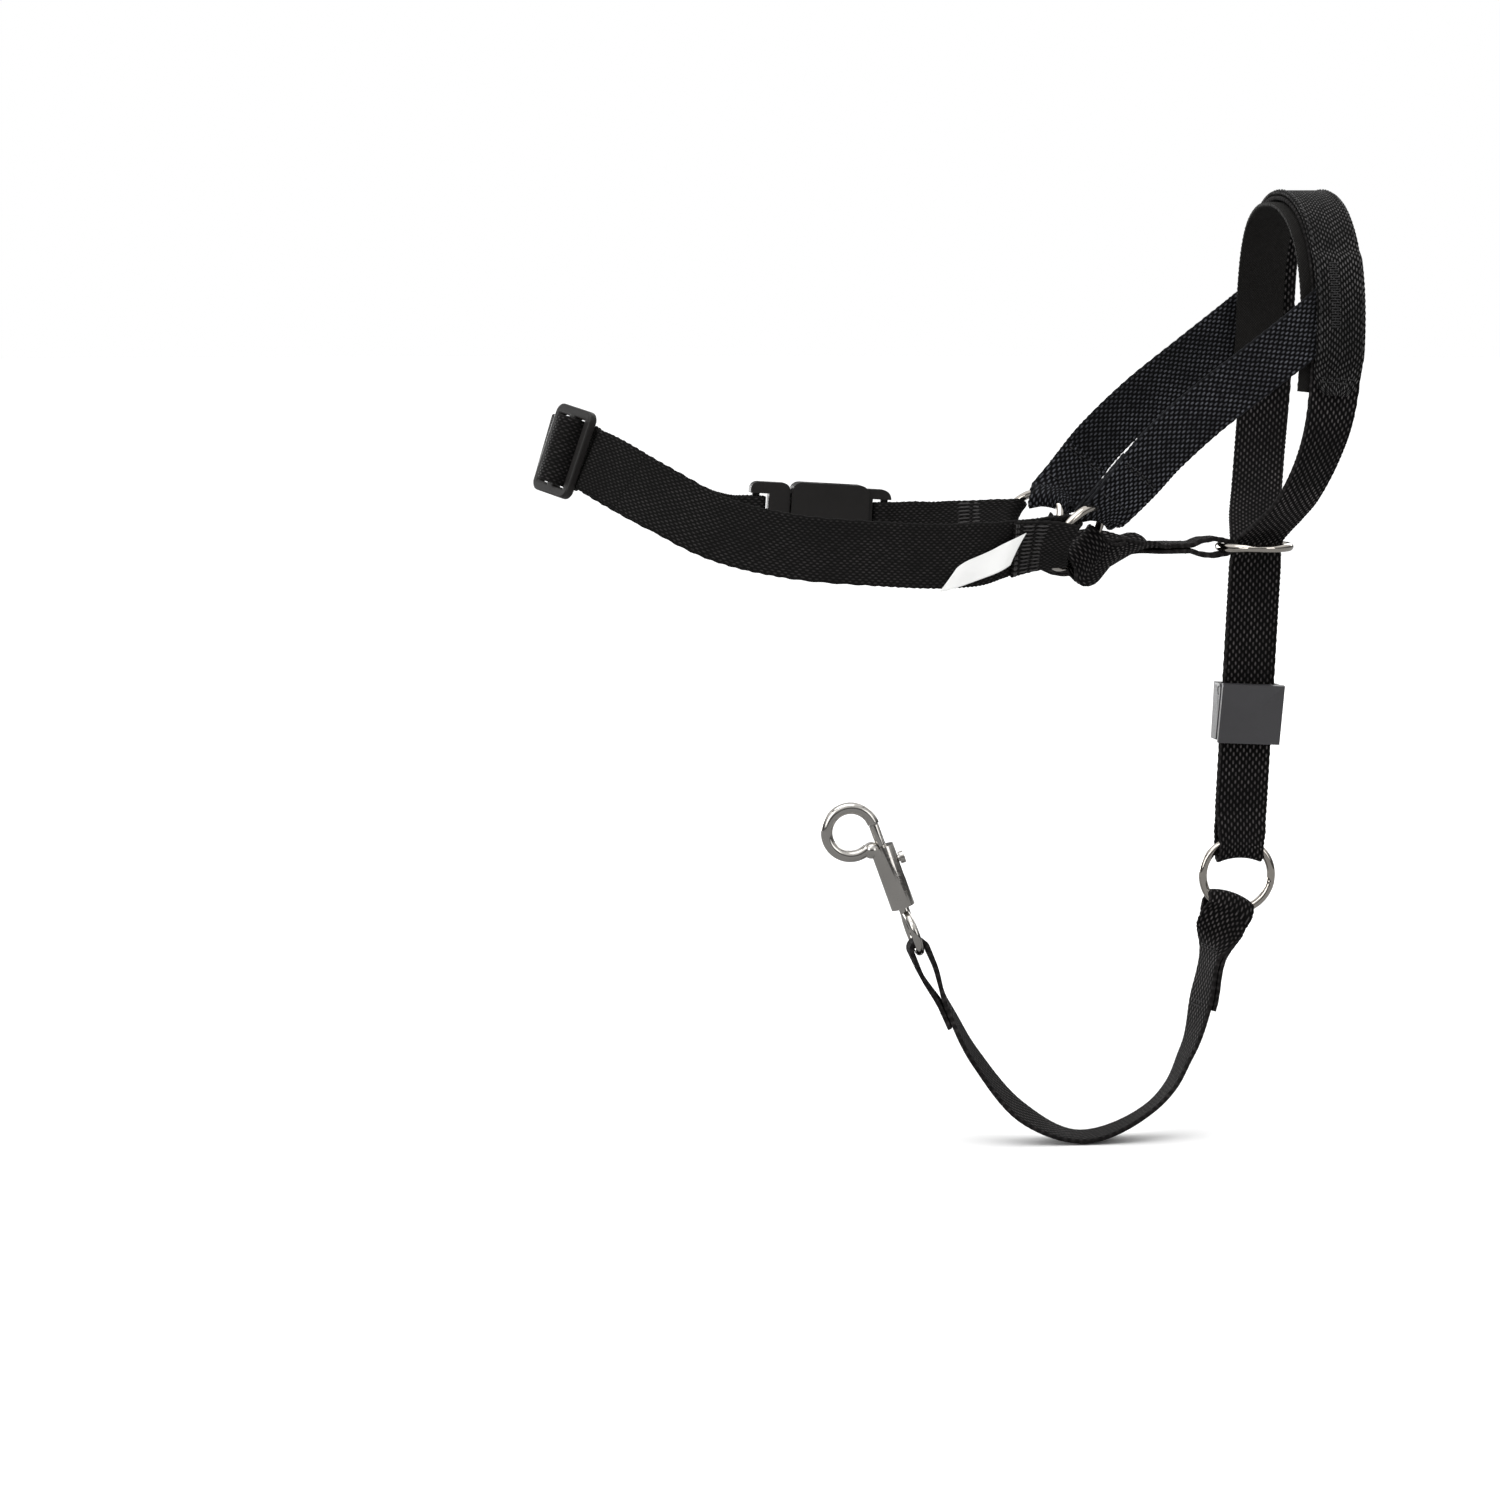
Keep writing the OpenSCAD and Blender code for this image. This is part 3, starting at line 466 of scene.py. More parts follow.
def plated(name, colour, rough=0.16):
    """Nickel plating: bright, with faint draw marks and a few handling scuffs."""
    n = Nodes(name)
    scuff = n.spread(n.noise(420, 4, stretch=(1, 1, 3)), 0.55, 0.75)
    cloud = n.spread(n.noise(70, 2), 0.3, 0.7)
    shade = n.mix(cloud, [c * 0.92 for c in colour], colour)
    shade = n.mix(n.math("MULTIPLY", scuff, 0.25), shade, [c * 0.7 for c in colour])
    return n.set(color=shade, metal=1.0, rough=n.math("ADD", n.math("MULTIPLY", scuff, 0.16), rough),
                 normal=n.bump(n.noise(900, 2), 0.02 * MM, 0.35))


# Each webbing's first colour is the gaps between its floats, darkened with painted shade.
LEAD_WEB = woven("lead_webbing", (0.0012, 0.001, 0.001), (0.066, 0.06, 0.06), across=1.03, along=2.44,
                 contrast=(0.4, 1.0))
CHEEK_WEB = woven("cheek_webbing", (0.0012, 0.0012, 0.0016), (0.07, 0.072, 0.083), across=0.95, along=2.1)
OVERLAY_WEB = woven("overlay_webbing", (0.0014, 0.0013, 0.0013), (0.075, 0.072, 0.072), across=0.8,
                    along=2.0, chevron=4.0)
NECK_WEB = woven("neck_webbing", (0.0032, 0.003, 0.0028), (0.024, 0.022, 0.022), across=0.75, along=1.9,
                 depth=0.12, half=9.1)
SATIN_FACE = woven("lining_webbing", (0.006, 0.0055, 0.005), (0.018, 0.017, 0.016), across=0.4, along=0.9,
                   depth=0.06, half=20)
THREAD = plain_thread("thread", (0.016, 0.0155, 0.016))
HEM_THREAD = plain_thread("hem_thread", (0.04, 0.038, 0.038))
LABEL = satin("label_satin", (0.8, 0.8, 0.79))
BLACK_PLASTIC = moulded("black_plastic", (0.011, 0.010, 0.0095), rough=0.38)
GREY_PLASTIC = moulded("clamp_plastic", (0.034, 0.033, 0.036), rough=0.36, specular=0.6)
NICKEL = plated("nickel", (0.6, 0.56, 0.51), rough=0.08)
SNAP_METAL = plated("snap_nickel", (0.56, 0.54, 0.51), rough=0.14)
SPRING = plated("spring_steel", (0.5, 0.5, 0.5), rough=0.3)


def dress(obj, material, *nodes):
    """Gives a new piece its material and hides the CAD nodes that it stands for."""
    obj.data.materials.append(material)
    if nodes:
        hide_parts(*nodes)
    return obj


# ---------- rings ----------
# A cheek ring's plane holds ring_up and ring_out; ring_n is its normal.
ring_up = np.array([math.cos(CHEEK_PITCH), 0, math.sin(CHEEK_PITCH)])
ring_out = np.array([-math.cos(CHEEK_LEAN) * math.sin(CHEEK_PITCH), -math.sin(CHEEK_LEAN),
                     math.cos(CHEEK_LEAN) * math.cos(CHEEK_PITCH)])
ring_n = np.cross(ring_up, ring_out)


def radial(a):
    """From the cheek ring's centre out to the angle a."""
    return ring_up * math.cos(a) + ring_out * math.sin(a)


def ring_along(a):
    """Along the cheek ring's wire at the angle a."""
    return ring_out * math.cos(a) - ring_up * math.sin(a)


def fold_at(a, inside=LOOSE_IN):
    return CHEEK_C + radial(a) * (RING_R - inside)


for name, centre, normal, node, body in (
        ("ring_right", CHEEK_C, ring_n, "cheek_ring_right", "right_cheek_ring"),
        ("ring_left", CHEEK_C * FLIP, ring_n * FLIP, "cheek_ring_left", "left_cheek_ring"),
        ("ring_chin", CHIN_C, [0, 0, 1], "chin_ring", "chin_o_ring"),
        ("ring_lead", np.zeros(3), [0, 1, 0], "lead_ring", "lead_o_ring")):
    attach(dress(torus(name, centre, normal), NICKEL, node), body)


# ---------- nose strap and its overlay ----------
def lead_x(z):
    """Where the leaning lead strap's middle is at the height z."""
    return 0.5 + (z - 10) * math.tan(LEAD_LEAN)


LEAD_FOLD_Z = RING_R - 0.8
LEAD_EYE_R = 3.95
LEAD_FOLD_W = 13.9
LEAD_LAY = 0.8              # from the middle of the doubled lead strap to the middle of either layer
CHIN_BEND_W = 15.4          # width of the nose strap where it comes out of the chin ring
lead_line = Line([((lead_x(z), 0, z), (1, 0, 0)) for z in (LEAD_FOLD_Z, 22, 50, 80, 96)])
nose_half = [
    ((4.9, -0.8, 98), (1, 0, 0)),
    ((5.2, -2.6, 103), (1, 0.1, 0)),
    ((6.6, -8.5, 106.8), (1, 0.25, 0)),
    ((8.6, -17, 111.2), (1, 0.4, 0)),
    ((11.2, -26, 117.2), (1, 0.45, 0)),
    ((14.6, -MUZZLE + 6.5, 129.4), (1, 0.4, 0)),
    ((16.9, -MUZZLE + 1, 142), (1, 0.25, 0)),
    ((18.7, -MUZZLE, 162), (1, 0.05, 0)),
    ((18.9, -MUZZLE + 0.8, 178.5), (1, 0.03, 0)),
    ((18.7, -MUZZLE + 6, 192), (1, 0.02, 0)),
    ((18.3, -MUZZLE + 15.5, 201.2), (1, 0.03, 0.01)),
    ((18, -MUZZLE + 28, 206.2), (1, 0, 0)),
    ((17.9, 0, 207.8), (1, 0, 0)),
]
nose_line = Line(nose_half + knots_mirrored(nose_half[-2::-1]))
NOSE_END = nose_line.last


def far(t):
    """The place on the left side that mirrors t on the right."""
    return NOSE_END - t


def nose_strap():
    """One endless strap: the loop round the muzzle, and two layers down to the fold in the lead ring."""
    off = [(0, LEAD_EYE_R), (0.3, 3.1), (1, LEAD_LAY)]
    width = [(0, LEAD_FOLD_W), (0.6, 15.2), (1, STRAP_W)]
    up_run = run(lead_line, 0, lead_line.last, off, width)
    near = up_run.copy()
    near[:, 1] = -np.abs(near[:, 1])
    down = up_run[::-1].copy()
    down[:, 1] = np.abs(down[:, 1])
    loop = run(nose_line, 0.15, NOSE_END - 0.15, [(0, 0)],
               [(1, CHIN_BEND_W), (3, STRAP_W), (far(3), STRAP_W), (far(1), CHIN_BEND_W)])
    a = np.pi * np.arange(1, 16) / 16
    p = lead_line.at(0)[0, :3]
    arc = p + np.stack([a * 0, np.cos(a), -np.sin(a)], 1) * LEAD_EYE_R
    fold = np.hstack([arc, np.tile([1.0, 0, 0], (len(a), 1)), np.full((len(a), 1), LEAD_FOLD_W)])
    wraps = [(p, np.array([0, 0, -1]), 0.6, 9)]
    obj = ribbon("nose_webbing", np.vstack([near, loop, down, fold]), STRAP_W, closed=True, wraps=wraps)
    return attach(dress(obj, LEAD_WEB, "nose_strap"), "muzzle_band")


nose_strap()

SANDWICH = (6.7, 8.95)      # where the overlay lies on the end of a cheek strap
OVERLAY_END = 6.38
OVERLAY_W = STRAP_W - 1


def overlay_off():
    a, b = SANDWICH
    keys = [(OVERLAY_END, -LAYER), (a, -LAYER), (a + 0.3, -2 * LAYER), (b - 0.3, -2 * LAYER), (b, -LAYER)]
    return keys + [(far(t), v) for t, v in keys[::-1]]


def nose_overlay():
    """The layer sewn over the top of the muzzle loop, with rounded ends."""
    end = [(OVERLAY_END, OVERLAY_W - 8), (OVERLAY_END + 0.12, OVERLAY_W - 2.6),
           (OVERLAY_END + 0.32, OVERLAY_W)]
    width = end + [(far(t), v) for t, v in end[::-1]]
    st = run(nose_line, OVERLAY_END, far(OVERLAY_END), overlay_off(), width)
    obj = ribbon("nose_overlay_webbing", st, OVERLAY_W)
    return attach(dress(obj, OVERLAY_WEB, "nose_overlay"), "muzzle_band")


nose_overlay()


def nose_lining():
    """The soft layer inside the loop. It sits further back, so its edge shows behind the strap."""
    set_back = 3.5
    st = run(nose_line, OVERLAY_END, far(OVERLAY_END), [(0, LAYER + 0.2)], [(0, OVERLAY_W)])
    st[:, :3] -= st[:, 3:6] * set_back
    obj = ribbon("nose_lining_webbing", st, OVERLAY_W)
    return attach(dress(obj, SATIN_FACE, "nose_lining"), "muzzle_band")


nose_lining()


def overlay_stitching():
    """Bar-tacks over the buried ends of the cheek straps, and the lines of stitching along the overlay."""
    height = -(2 * LAYER + WEB_T / 2)
    low = -(LAYER + WEB_T / 2)
    tack_half = 1.7
    tack_shift = np.array([-1.8, 0, 0])
    pairs = []
    for place in (lambda t: t, far):
        for t in np.linspace(7.45, 8.6, 26):
            p, _, w, f = (v[0] for v in nose_line.axes(place(t)))
            mid = p + f * height + tack_shift
            pairs.append((mid - w * tack_half, mid + w * tack_half, -f))
        for x in (-6.4, 6.4):
            pairs += stitch_row(nose_line, place(7.0), place(8.7), x, height)
            pairs += stitch_row(nose_line, place(9.1), place(12), x, low)
        for t in (6.56, 6.62):
            pairs += stitch_across(nose_line, place(t), -5.6, 5.6, low, 5)
    obj = stitches("overlay_threads", pairs, 0.22)
    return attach(dress(obj, THREAD, "overlay_bartacks"), "muzzle_band")


overlay_stitching()

# ---------- cheek straps ----------
cheek_knots = [
    ((18.5, -MUZZLE - 1.24, 176.5), (0.66, -0.085, -0.75)),
    ((9, -MUZZLE - 1.9, 168.6), (0.66, 0, -0.75)),
    ((-6, -MUZZLE - 1.75, 157), (0.65, 0, -0.75)),
    ((-21.7, -MUZZLE - 0.6, 144.9), (0.68, 0, -0.73)),
    ((-35, -MUZZLE + 0.6, 132.6), (0.7, 0.05, -0.7)),
    ((-42.4, -MUZZLE + 2.2, 124.1), (0.68, 0.2, -0.68)),
    ((-48.6, -MUZZLE + 5, 116.8), (0.6, 0.5, -0.62)),
    (fold_at(CHEEK_AT, TIGHT_IN), -ring_along(CHEEK_AT)),
]
cheek_line = Line(cheek_knots)
CHEEK_END = cheek_line.last


def cheek_strap(name, left, node):
    """From under the overlay back to the cheek ring, round its wire and into a hem."""
    end = CHEEK_END
    hem = [(end - 2.4, 0.8), (end - 1, HALF_LAY), (end - 0.2, TIGHT_EYE)]
    width = [(end - 1.1, STRAP_W), (end - 0.35, GATHER_W)]
    out = run(cheek_line, 0, end, [(end - 3.2, 0)] + hem, width)
    fold = turn(cheek_line, end, 1, 1, TIGHT_EYE, GATHER_W)
    back = run(cheek_line, end, end - 2.4, [(t, -v) for t, v in hem], width)
    st = np.vstack([out, fold, back])
    centre, toward = fold_at(CHEEK_AT, TIGHT_IN), -radial(CHEEK_AT)
    if left:
        st, centre, toward = flipped(st), centre * FLIP, toward * FLIP
    obj = ribbon(name, st, STRAP_W, wraps=[(centre, toward, 1.0, 6)])
    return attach(dress(obj, CHEEK_WEB, node), "muzzle_band")


cheek_strap("cheek_webbing_right", False, "cheek_strap_right")
cheek_strap("cheek_webbing_left", True, "cheek_strap_left")


def mirror_pairs(pairs):
    return pairs + [(np.array(p) * FLIP, np.array(q) * FLIP, np.array(u) * FLIP) for p, q, u in pairs]


def cheek_threads():
    pairs = []
    for side in (1, -1):
        height = side * HEM_FACE
        for t in (CHEEK_END - 2.28, CHEEK_END - 2.2, CHEEK_END - 1.25):
            pairs += stitch_across(cheek_line, t, -6.2, 6.2, height, 6)
    obj = stitches("cheek_threads", mirror_pairs(pairs), 0.22)
    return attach(dress(obj, THREAD, "cheek_stitching"), "muzzle_band")


cheek_threads()

# ---------- chin strap ----------
CHIN_WIRE_X = CHIN_C[0] - RING_R
chin_line = Line([
    (fold_at(CHIN_AT), ring_along(CHIN_AT)),
    ((-51.4, -25, 98.6), (0.57, -0.05, 0.82)),
    ((-43.7, -17, 99.4), (0.12, -0.8, 0.6)),
    ((-37.4, -9.5, 99.4), (0.1, -0.93, 0.34)),
    ((-30.5, -3, 101.3), (0.05, -0.99, 0)),
    ((-25, -0.3, CHIN_Z), (0.02, -1, 0)),
    ((-20, 0, CHIN_Z), (0, -1, 0)),
    ((-13, 0, CHIN_Z), (0, -1, 0)),
    ((CHIN_WIRE_X + 0.6, 0, CHIN_Z), (0, -1, 0)),
])
CHIN_END = chin_line.last
CHIN_FOLD_W = 6.5
CHIN_EYE = 2.05


def chin_strap():
    """Two legs from the cheek rings that meet, narrow and fold round the chin ring."""
    width = [(0.4, GATHER_W), (1, STRAP_W), (5, STRAP_W), (6, 14), (7, 11), (7.6, CHIN_FOLD_W)]
    leg = [(0.4, -LOOSE_EYE), (1.1, -HALF_LAY), (6.5, -HALF_LAY), (7.1, -2.3), (7.5, -2.6),
           (CHIN_END, -CHIN_EYE)]
    hem = run(chin_line, 1.9, 0, [(0.4, LOOSE_EYE), (1.1, HALF_LAY)], width)
    near = np.vstack([hem, turn(chin_line, 0, 1, -1, LOOSE_EYE, GATHER_W),
                      run(chin_line, 0, CHIN_END, leg, width)])
    ring_fold = turn(chin_line, CHIN_END, -1, 1, CHIN_EYE, CHIN_FOLD_W)
    other = flipped(near)[::-1]
    other[:, 3:6] *= -1
    # Where the legs lie on each other, the left one's height mirrors the right one's.
    together = eased(other[:, 0], [(-40, 0), (-32, 1)])
    other[:, 2] -= 2 * (other[:, 2] - CHIN_Z) * together
    fold, toward = fold_at(CHIN_AT), -radial(CHIN_AT)
    wraps = [(fold, toward, 1.0, 9), (fold * FLIP, toward * FLIP, 1.0, 9),
             (chin_line.at(CHIN_END)[0, :3], np.array([1.0, 0, 0]), 1.0, 5)]
    obj = ribbon("chin_webbing", np.vstack([near, ring_fold, other]), STRAP_W, wraps=wraps)
    dress(obj, LEAD_WEB, "chin_strap")
    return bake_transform(obj)


chin_strap()


def chin_threads():
    pairs = []
    for side in (1, -1):
        height = side * (HEM_FACE - 0.05)
        for t in (5.4, 5.55, 6.3):
            pairs += stitch_across(chin_line, t, -4.6, 4.6, height, 5)
    obj = stitches("chin_threads", pairs, 0.2)
    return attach(dress(obj, THREAD, "chin_stitching"), "chin_slider")


chin_threads()

# ---------- safety strap ----------
SNAP_LEAN = math.radians(20)
snap_o = np.array([-101.5, 0, -16.0])
snap_up = np.array([-math.sin(SNAP_LEAN), 0, math.cos(SNAP_LEAN)])
safety_r = np.array([math.cos(SAFETY_AT), 0, math.sin(SAFETY_AT)])
safety_fold = safety_r * (RING_R - 0.8)
SAFETY_EYE = 3.8
SAFETY_FOLD_W = 15.0
SNAP_FOLD_R = 2.55
SNAP_FOLD_W = 7.0
safety_line = Line([
    (safety_fold, (-math.sin(SAFETY_AT), 0, math.cos(SAFETY_AT))),
    ((-5.4, 0, -17), (0.85, -0.5, -0.2)),
    ((-7.2, 0, -24), (0.2, -0.98, -0.04)),
    ((-10.2, 0, -39.3), (0.17, -0.98, -0.04)),
    ((-14.2, 0, -54.5), (0, -1, 0)),
    ((-25.5, 0, -71.4), (-0.07, -0.99, 0.08)),
    ((-47.6, 0, -80.8), (0, -1, -0.02)),
    ((-67, 0, -72.9), (-0.16, -0.96, -0.22)),
    ((-82, 0, -55.2), (-0.2, -0.97, -0.16)),
    ((-91.5, 0, -39), (-0.15, -0.98, -0.1)),
    (snap_o - snap_up * 5.2, (0, -1, 0)),
])
SAFETY_END = safety_line.last


def safety_strap():
    """From a hem at the lead ring down and back up to a hem at the snap's eye."""
    end = SAFETY_END
    eye = [(0, SAFETY_EYE), (0.35, 2.9), (1.2, HALF_LAY)]
    snap_eye = [(9, HALF_LAY), (9.7, SNAP_FOLD_R)]
    off = eye + [(4.1, HALF_LAY), (4.6, 0.2), (8, 0.2)] + snap_eye
    width = [(0, SAFETY_FOLD_W), (0.5, 14.6), (1.2, 14.5), (2, STRAP_W), (8.5, STRAP_W),
             (9.5, SNAP_FOLD_W)]
    first = run(safety_line, 3.1, 0, [(t, -v) for t, v in eye], width)
    fold = turn(safety_line, 0, -1, -1, SAFETY_EYE, SAFETY_FOLD_W)
    main = run(safety_line, 0, end, off, width)
    snap_fold = turn(safety_line, end, 1, 1, SNAP_FOLD_R, SNAP_FOLD_W)
    last = run(safety_line, end, 8.7, [(t, -v) for t, v in snap_eye], width)
    wraps = [(safety_fold, -safety_r, -0.5, 8)]
    obj = ribbon("safety_webbing", np.vstack([first, fold, main, snap_fold, last]), STRAP_W, wraps=wraps)
    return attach(dress(obj, LEAD_WEB, "safety_strap"), "safety_link")


safety_strap()


def safety_threads():
    pairs = []
    for side in (-1, 1):
        for t in (1.8, 1.9, 3, 3.1):
            pairs += stitch_across(safety_line, t, -5, 5, side * HEM_FACE, 6)
        for t in (8.85, 8.95):
            pairs += stitch_across(safety_line, t, -4, 4, side * HEM_FACE, 4)
    obj = stitches("safety_threads", pairs, 0.2)
    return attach(dress(obj, THREAD, "safety_stitching"), "safety_link")


safety_threads()

# ---------- neck band ----------
NAPE_X = -213.5
neck_half = [
    (fold_at(NECK_AT), -ring_along(NECK_AT)),
    ((-77, -NECK + 10.2, 105.2), (0.08, -0.3, 0.95)),
    ((-88, -NECK + 5, 103.9), (0, -0.08, 1)),
    ((-103, -NECK + 1.2, 103.3), (0, 0.03, 1)),
    ((-122, -NECK, 104.3), (0.02, 0.08, 1)),
    ((-147, -NECK + 0.8, 106.6), (0.1, 0.12, 0.98)),
    ((-168, -NECK + 5.5, 111.6), (0.25, 0.14, 0.95)),
    ((-187, -NECK + 15.5, 121.6), (0.36, 0.14, 0.92)),
    ((-201, -NECK + 30, 129.8), (0.36, 0.1, 0.93)),
    ((-210, -15.5, 133), (0.3, 0.04, 0.95)),
    ((NAPE_X, 0, 134), (0.28, 0, 0.96)),
]
BUCKLE_O = np.array([-131.5, NECK, 104.9])
BUCKLE_LEAN = math.radians(3.5)
buckle_dir = np.array([math.cos(BUCKLE_LEAN), 0, -math.sin(BUCKLE_LEAN)])
buckle_up = np.array([math.sin(BUCKLE_LEAN), 0, math.cos(BUCKLE_LEAN)])
PLUG_BAR, SOCKET_BAR = -11.0, 29.8      # the two webbing bars, along the buckle from its origin
# The left half mirrors the right, but runs straight through the buckle.
buckle_knots = [(BUCKLE_O + buckle_dir * x, buckle_up)
                for x in (PLUG_BAR - 10, PLUG_BAR, (PLUG_BAR + SOCKET_BAR) / 2, SOCKET_BAR)]
neck_line = Line(neck_half + knots_mirrored(neck_half[9:5:-1]) + buckle_knots
                 + knots_mirrored(neck_half[2::-1]))
left_line = Line(knots_mirrored(neck_half[:3]) + buckle_knots[::-1][:3])
GLIDE_T = 8.95              # the glide's middle on the neck line
PLUG_T = 16.0               # the plug's bar on the neck line
SOCKET_S = 3.0              # the socket's bar on the left line
LOOP_R = 2.6                # radius of the loops round the buckle's bars
NECK_GATHER = 15.5
GLIDE_W = NECK_W + 1.3      # the webbing spreads where it is pressed in the glide
NECK_WIDTH = [(0, NECK_GATHER), (0.9, 16.8), (1.6, 17.5), (2.4, NECK_W), (GLIDE_T - 0.7, NECK_W),
              (GLIDE_T - 0.45, GLIDE_W), (GLIDE_T + 0.45, GLIDE_W), (GLIDE_T + 0.7, NECK_W)]
NECK_EYE = [(0, LOOSE_EYE), (0.3, 2), (0.8, HALF_LAY)]
HEM_END = 1.35
NECK_WRAP = (fold_at(NECK_AT), -radial(NECK_AT), 1.0, 9)


def neck_piece(name, stations, wraps=()):
    obj = ribbon(name, stations, NECK_W, wraps=wraps, pitch=1.3, columns=20)
    obj.data.materials.append(NECK_WEB)
    return obj


def neck_right():
    """The long strap, cut where joints cross it: at the cheek ring, each side of the glide, at the plug."""
    g = GLIDE_T
    hem = run(neck_line, HEM_END, 0, [(t, -v) for t, v in NECK_EYE], NECK_WIDTH)
    fold = turn(neck_line, 0, -1, -1, LOOSE_EYE, NECK_GATHER)
    # Down under one outer bar of the glide, up over its middle bar and under the other one.
    off = NECK_EYE + [
        (1.6, HALF_LAY), (2.3, 0), (g - 0.75, 0.4), (g - 0.5, 2.8), (g - 0.34, 2.7), (g - 0.12, -4.3),
        (g, -4.6), (g + 0.12, -4.3), (g + 0.34, 2.7), (g + 0.5, 2.8), (g + 0.9, 0), (PLUG_T - 0.8, 0),
        (PLUG_T, -LOOP_R)]
    back_off = [(g, 2.7), (g + 0.12, 3.2), (g + 0.34, 4.4), (g + 0.6, 4.5), (g + 1, 1.8),
                (PLUG_T - 0.8, 1.8), (PLUG_T, LOOP_R)]
    before, after, wide = g - 0.62, g + 0.62, 1.6

    def part(t0, t1, step=STEP):
        return run(neck_line, t0, t1, off, NECK_WIDTH, step)

    def back(t0, t1):
        return run(neck_line, t0, t1, back_off, [(0, NECK_W)])

    first = neck_piece("neck_webbing_right", np.vstack([hem, fold, part(0, g - wide)]), [NECK_WRAP])
    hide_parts("neck_strap_right")
    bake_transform(first)
    hump = neck_piece("neck_webbing_over_glide", part(before, after, 0.4))
    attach(hump, "neck_glide")
    tail_end = neck_piece("neck_webbing_tail", back(after, g + 0.02))
    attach(tail_end, "neck_glide")

    def at(t):
        return neck_line.at(t)[0, :3] * MM

    for name, stations, a, b, t0, t1 in (
            ("neck_webbing_to_glide", part(g - wide, before), "neck_band", "neck_glide", g - wide, before),
            ("neck_webbing_past_glide", part(after, g + wide), "neck_glide", "neck_band", after, g + wide),
            ("neck_webbing_tail_end", back(g + wide, after), "neck_glide", "neck_band", after, g + wide)):
        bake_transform(neck_piece(name, stations), a, b, start=at(t0), end=at(t1))
    loop = np.vstack([part(g + wide, PLUG_T), turn(neck_line, PLUG_T, -1, 1, LOOP_R, NECK_W),
                      back(PLUG_T, g + wide)])
    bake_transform(neck_piece("neck_webbing_plug_end", loop), "neck_band", "buckle_insert",
             start=at(12.2), end=at(14.8))


neck_right()


def neck_left():
    """The short strap from the left cheek ring to the socket, hemmed at both ends."""
    s = SOCKET_S
    bar_loop = [(s - 0.35, HALF_LAY), (s, LOOP_R)]
    inner = run(left_line, HEM_END, 0, NECK_EYE, NECK_WIDTH)
    fold = turn(left_line, 0, 1, -1, LOOSE_EYE, NECK_GATHER)
    main = run(left_line, 0, s, [(t, -v) for t, v in NECK_EYE + bar_loop], NECK_WIDTH)
    bar = turn(left_line, s, -1, 1, LOOP_R, NECK_W)
    back = run(left_line, s, s - 0.75, bar_loop, [(0, NECK_W)])
    centre, toward, amount, reach = NECK_WRAP
    obj = neck_piece("neck_webbing_left", np.vstack([inner, fold, main, bar, back]),
                     [(centre * FLIP, toward * FLIP, amount, reach)])
    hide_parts("neck_strap_left")
    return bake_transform(obj)


neck_left()


def neck_threads():
    """A dense block of stitching holds each hem, with two more rows at the hem's cut end."""
    pairs = []
    half = Line(neck_half)
    face = HEM_FACE + 0.02
    for side in (-1, 1):
        height = side * face
        for x in np.arange(-7.2, 7.3, 1.2):
            pairs += stitch_row(half, 0.5, 1.2, x, height, long=3.4, space=0.5)
    for t in (1.27, 1.33):
        pairs += stitch_across(half, t, -8.2, 8.2, -face, 10)
    obj = stitches("neck_threads", mirror_pairs(pairs), 0.26)
    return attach(dress(obj, HEM_THREAD, "neck_stitching"), "neck_band")


neck_threads()


def neck_label():
    """The blank label: a slanting ribbon, its near end sewn in under the hem and its far end hanging free.
    Along it, u runs from 0 to 1; across it, v runs from -1 to 1."""
    half = Line(neck_half)
    t0, t1, half_w, thick = 1.3, 2.86, 4.7, 0.24
    rows, cols = 40, 15
    u, v = np.meshgrid(np.linspace(0, 1, rows), np.linspace(-1, 1, cols), indexing="ij")
    # Its ends are cut at a slant, and the upper corner of the free end is rounded.
    slant = 0.22
    corner = np.where(v > 0, 1 - 0.1 * np.clip((v - 0.45) / 0.55, 0, 1) ** 2, 1.0)
    t = t0 + (t1 - t0) * u * corner - slant * v
    p, _, across, face = half.axes(t.ravel())
    # It stands off the strap at the hem, settles on to it and ripples a little.
    lift = 2.1 - 0.8 * smooth((u - 0.15) / 0.4) + 0.1 * np.sin(u * 7) * (1 - v)
    drop = 0.6 - 6.6 * u
    mid = p + across * (drop + half_w * v).ravel()[:, None] - face * lift.ravel()[:, None]
    pts = np.vstack([mid - face * thick / 2, mid + face * thick / 2])
    n = rows * cols
    faces, uv = [], []

    cell = 0.6

    def add(quad):
        faces.append(quad)
        uv.extend([[(k % n) // cols * cell, (k % n) % cols * cell] for k in quad])

    for a in range(rows - 1):
        for b in range(cols - 1):
            k = a * cols + b
            add([k, k + 1, k + cols + 1, k + cols])
            add([n + k, n + k + cols, n + k + cols + 1, n + k + 1])
    rim = list(range(cols)) + [a * cols + cols - 1 for a in range(1, rows)]
    rim += [(rows - 1) * cols + b for b in range(cols - 2, -1, -1)]
    rim += [a * cols for a in range(rows - 2, 0, -1)]
    for k, m in zip(rim, rim[1:] + rim[:1]):
        add([m, k, n + k, n + m])
    obj = new_mesh("label_ribbon", pts, faces, uv)
    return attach(dress(obj, LABEL, "neck_label"), "neck_band")


neck_label()


# ---------- moulded and cast hardware: the CAD pieces with eased edges ----------
def ease_edges(node, material, width):
    """Rounds a CAD piece's sharp edges by width, and gives it its material."""
    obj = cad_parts[node]
    weld = obj.modifiers.new("weld", "WELD")
    weld.merge_threshold = 0.00002
    bevel = obj.modifiers.new("bevel", "BEVEL")
    bevel.width = width * MM
    bevel.segments = 3
    bevel.limit_method = "ANGLE"
    bevel.angle_limit = math.radians(32)
    bevel.harden_normals = True
    obj.data.materials.clear()
    obj.data.materials.append(material)


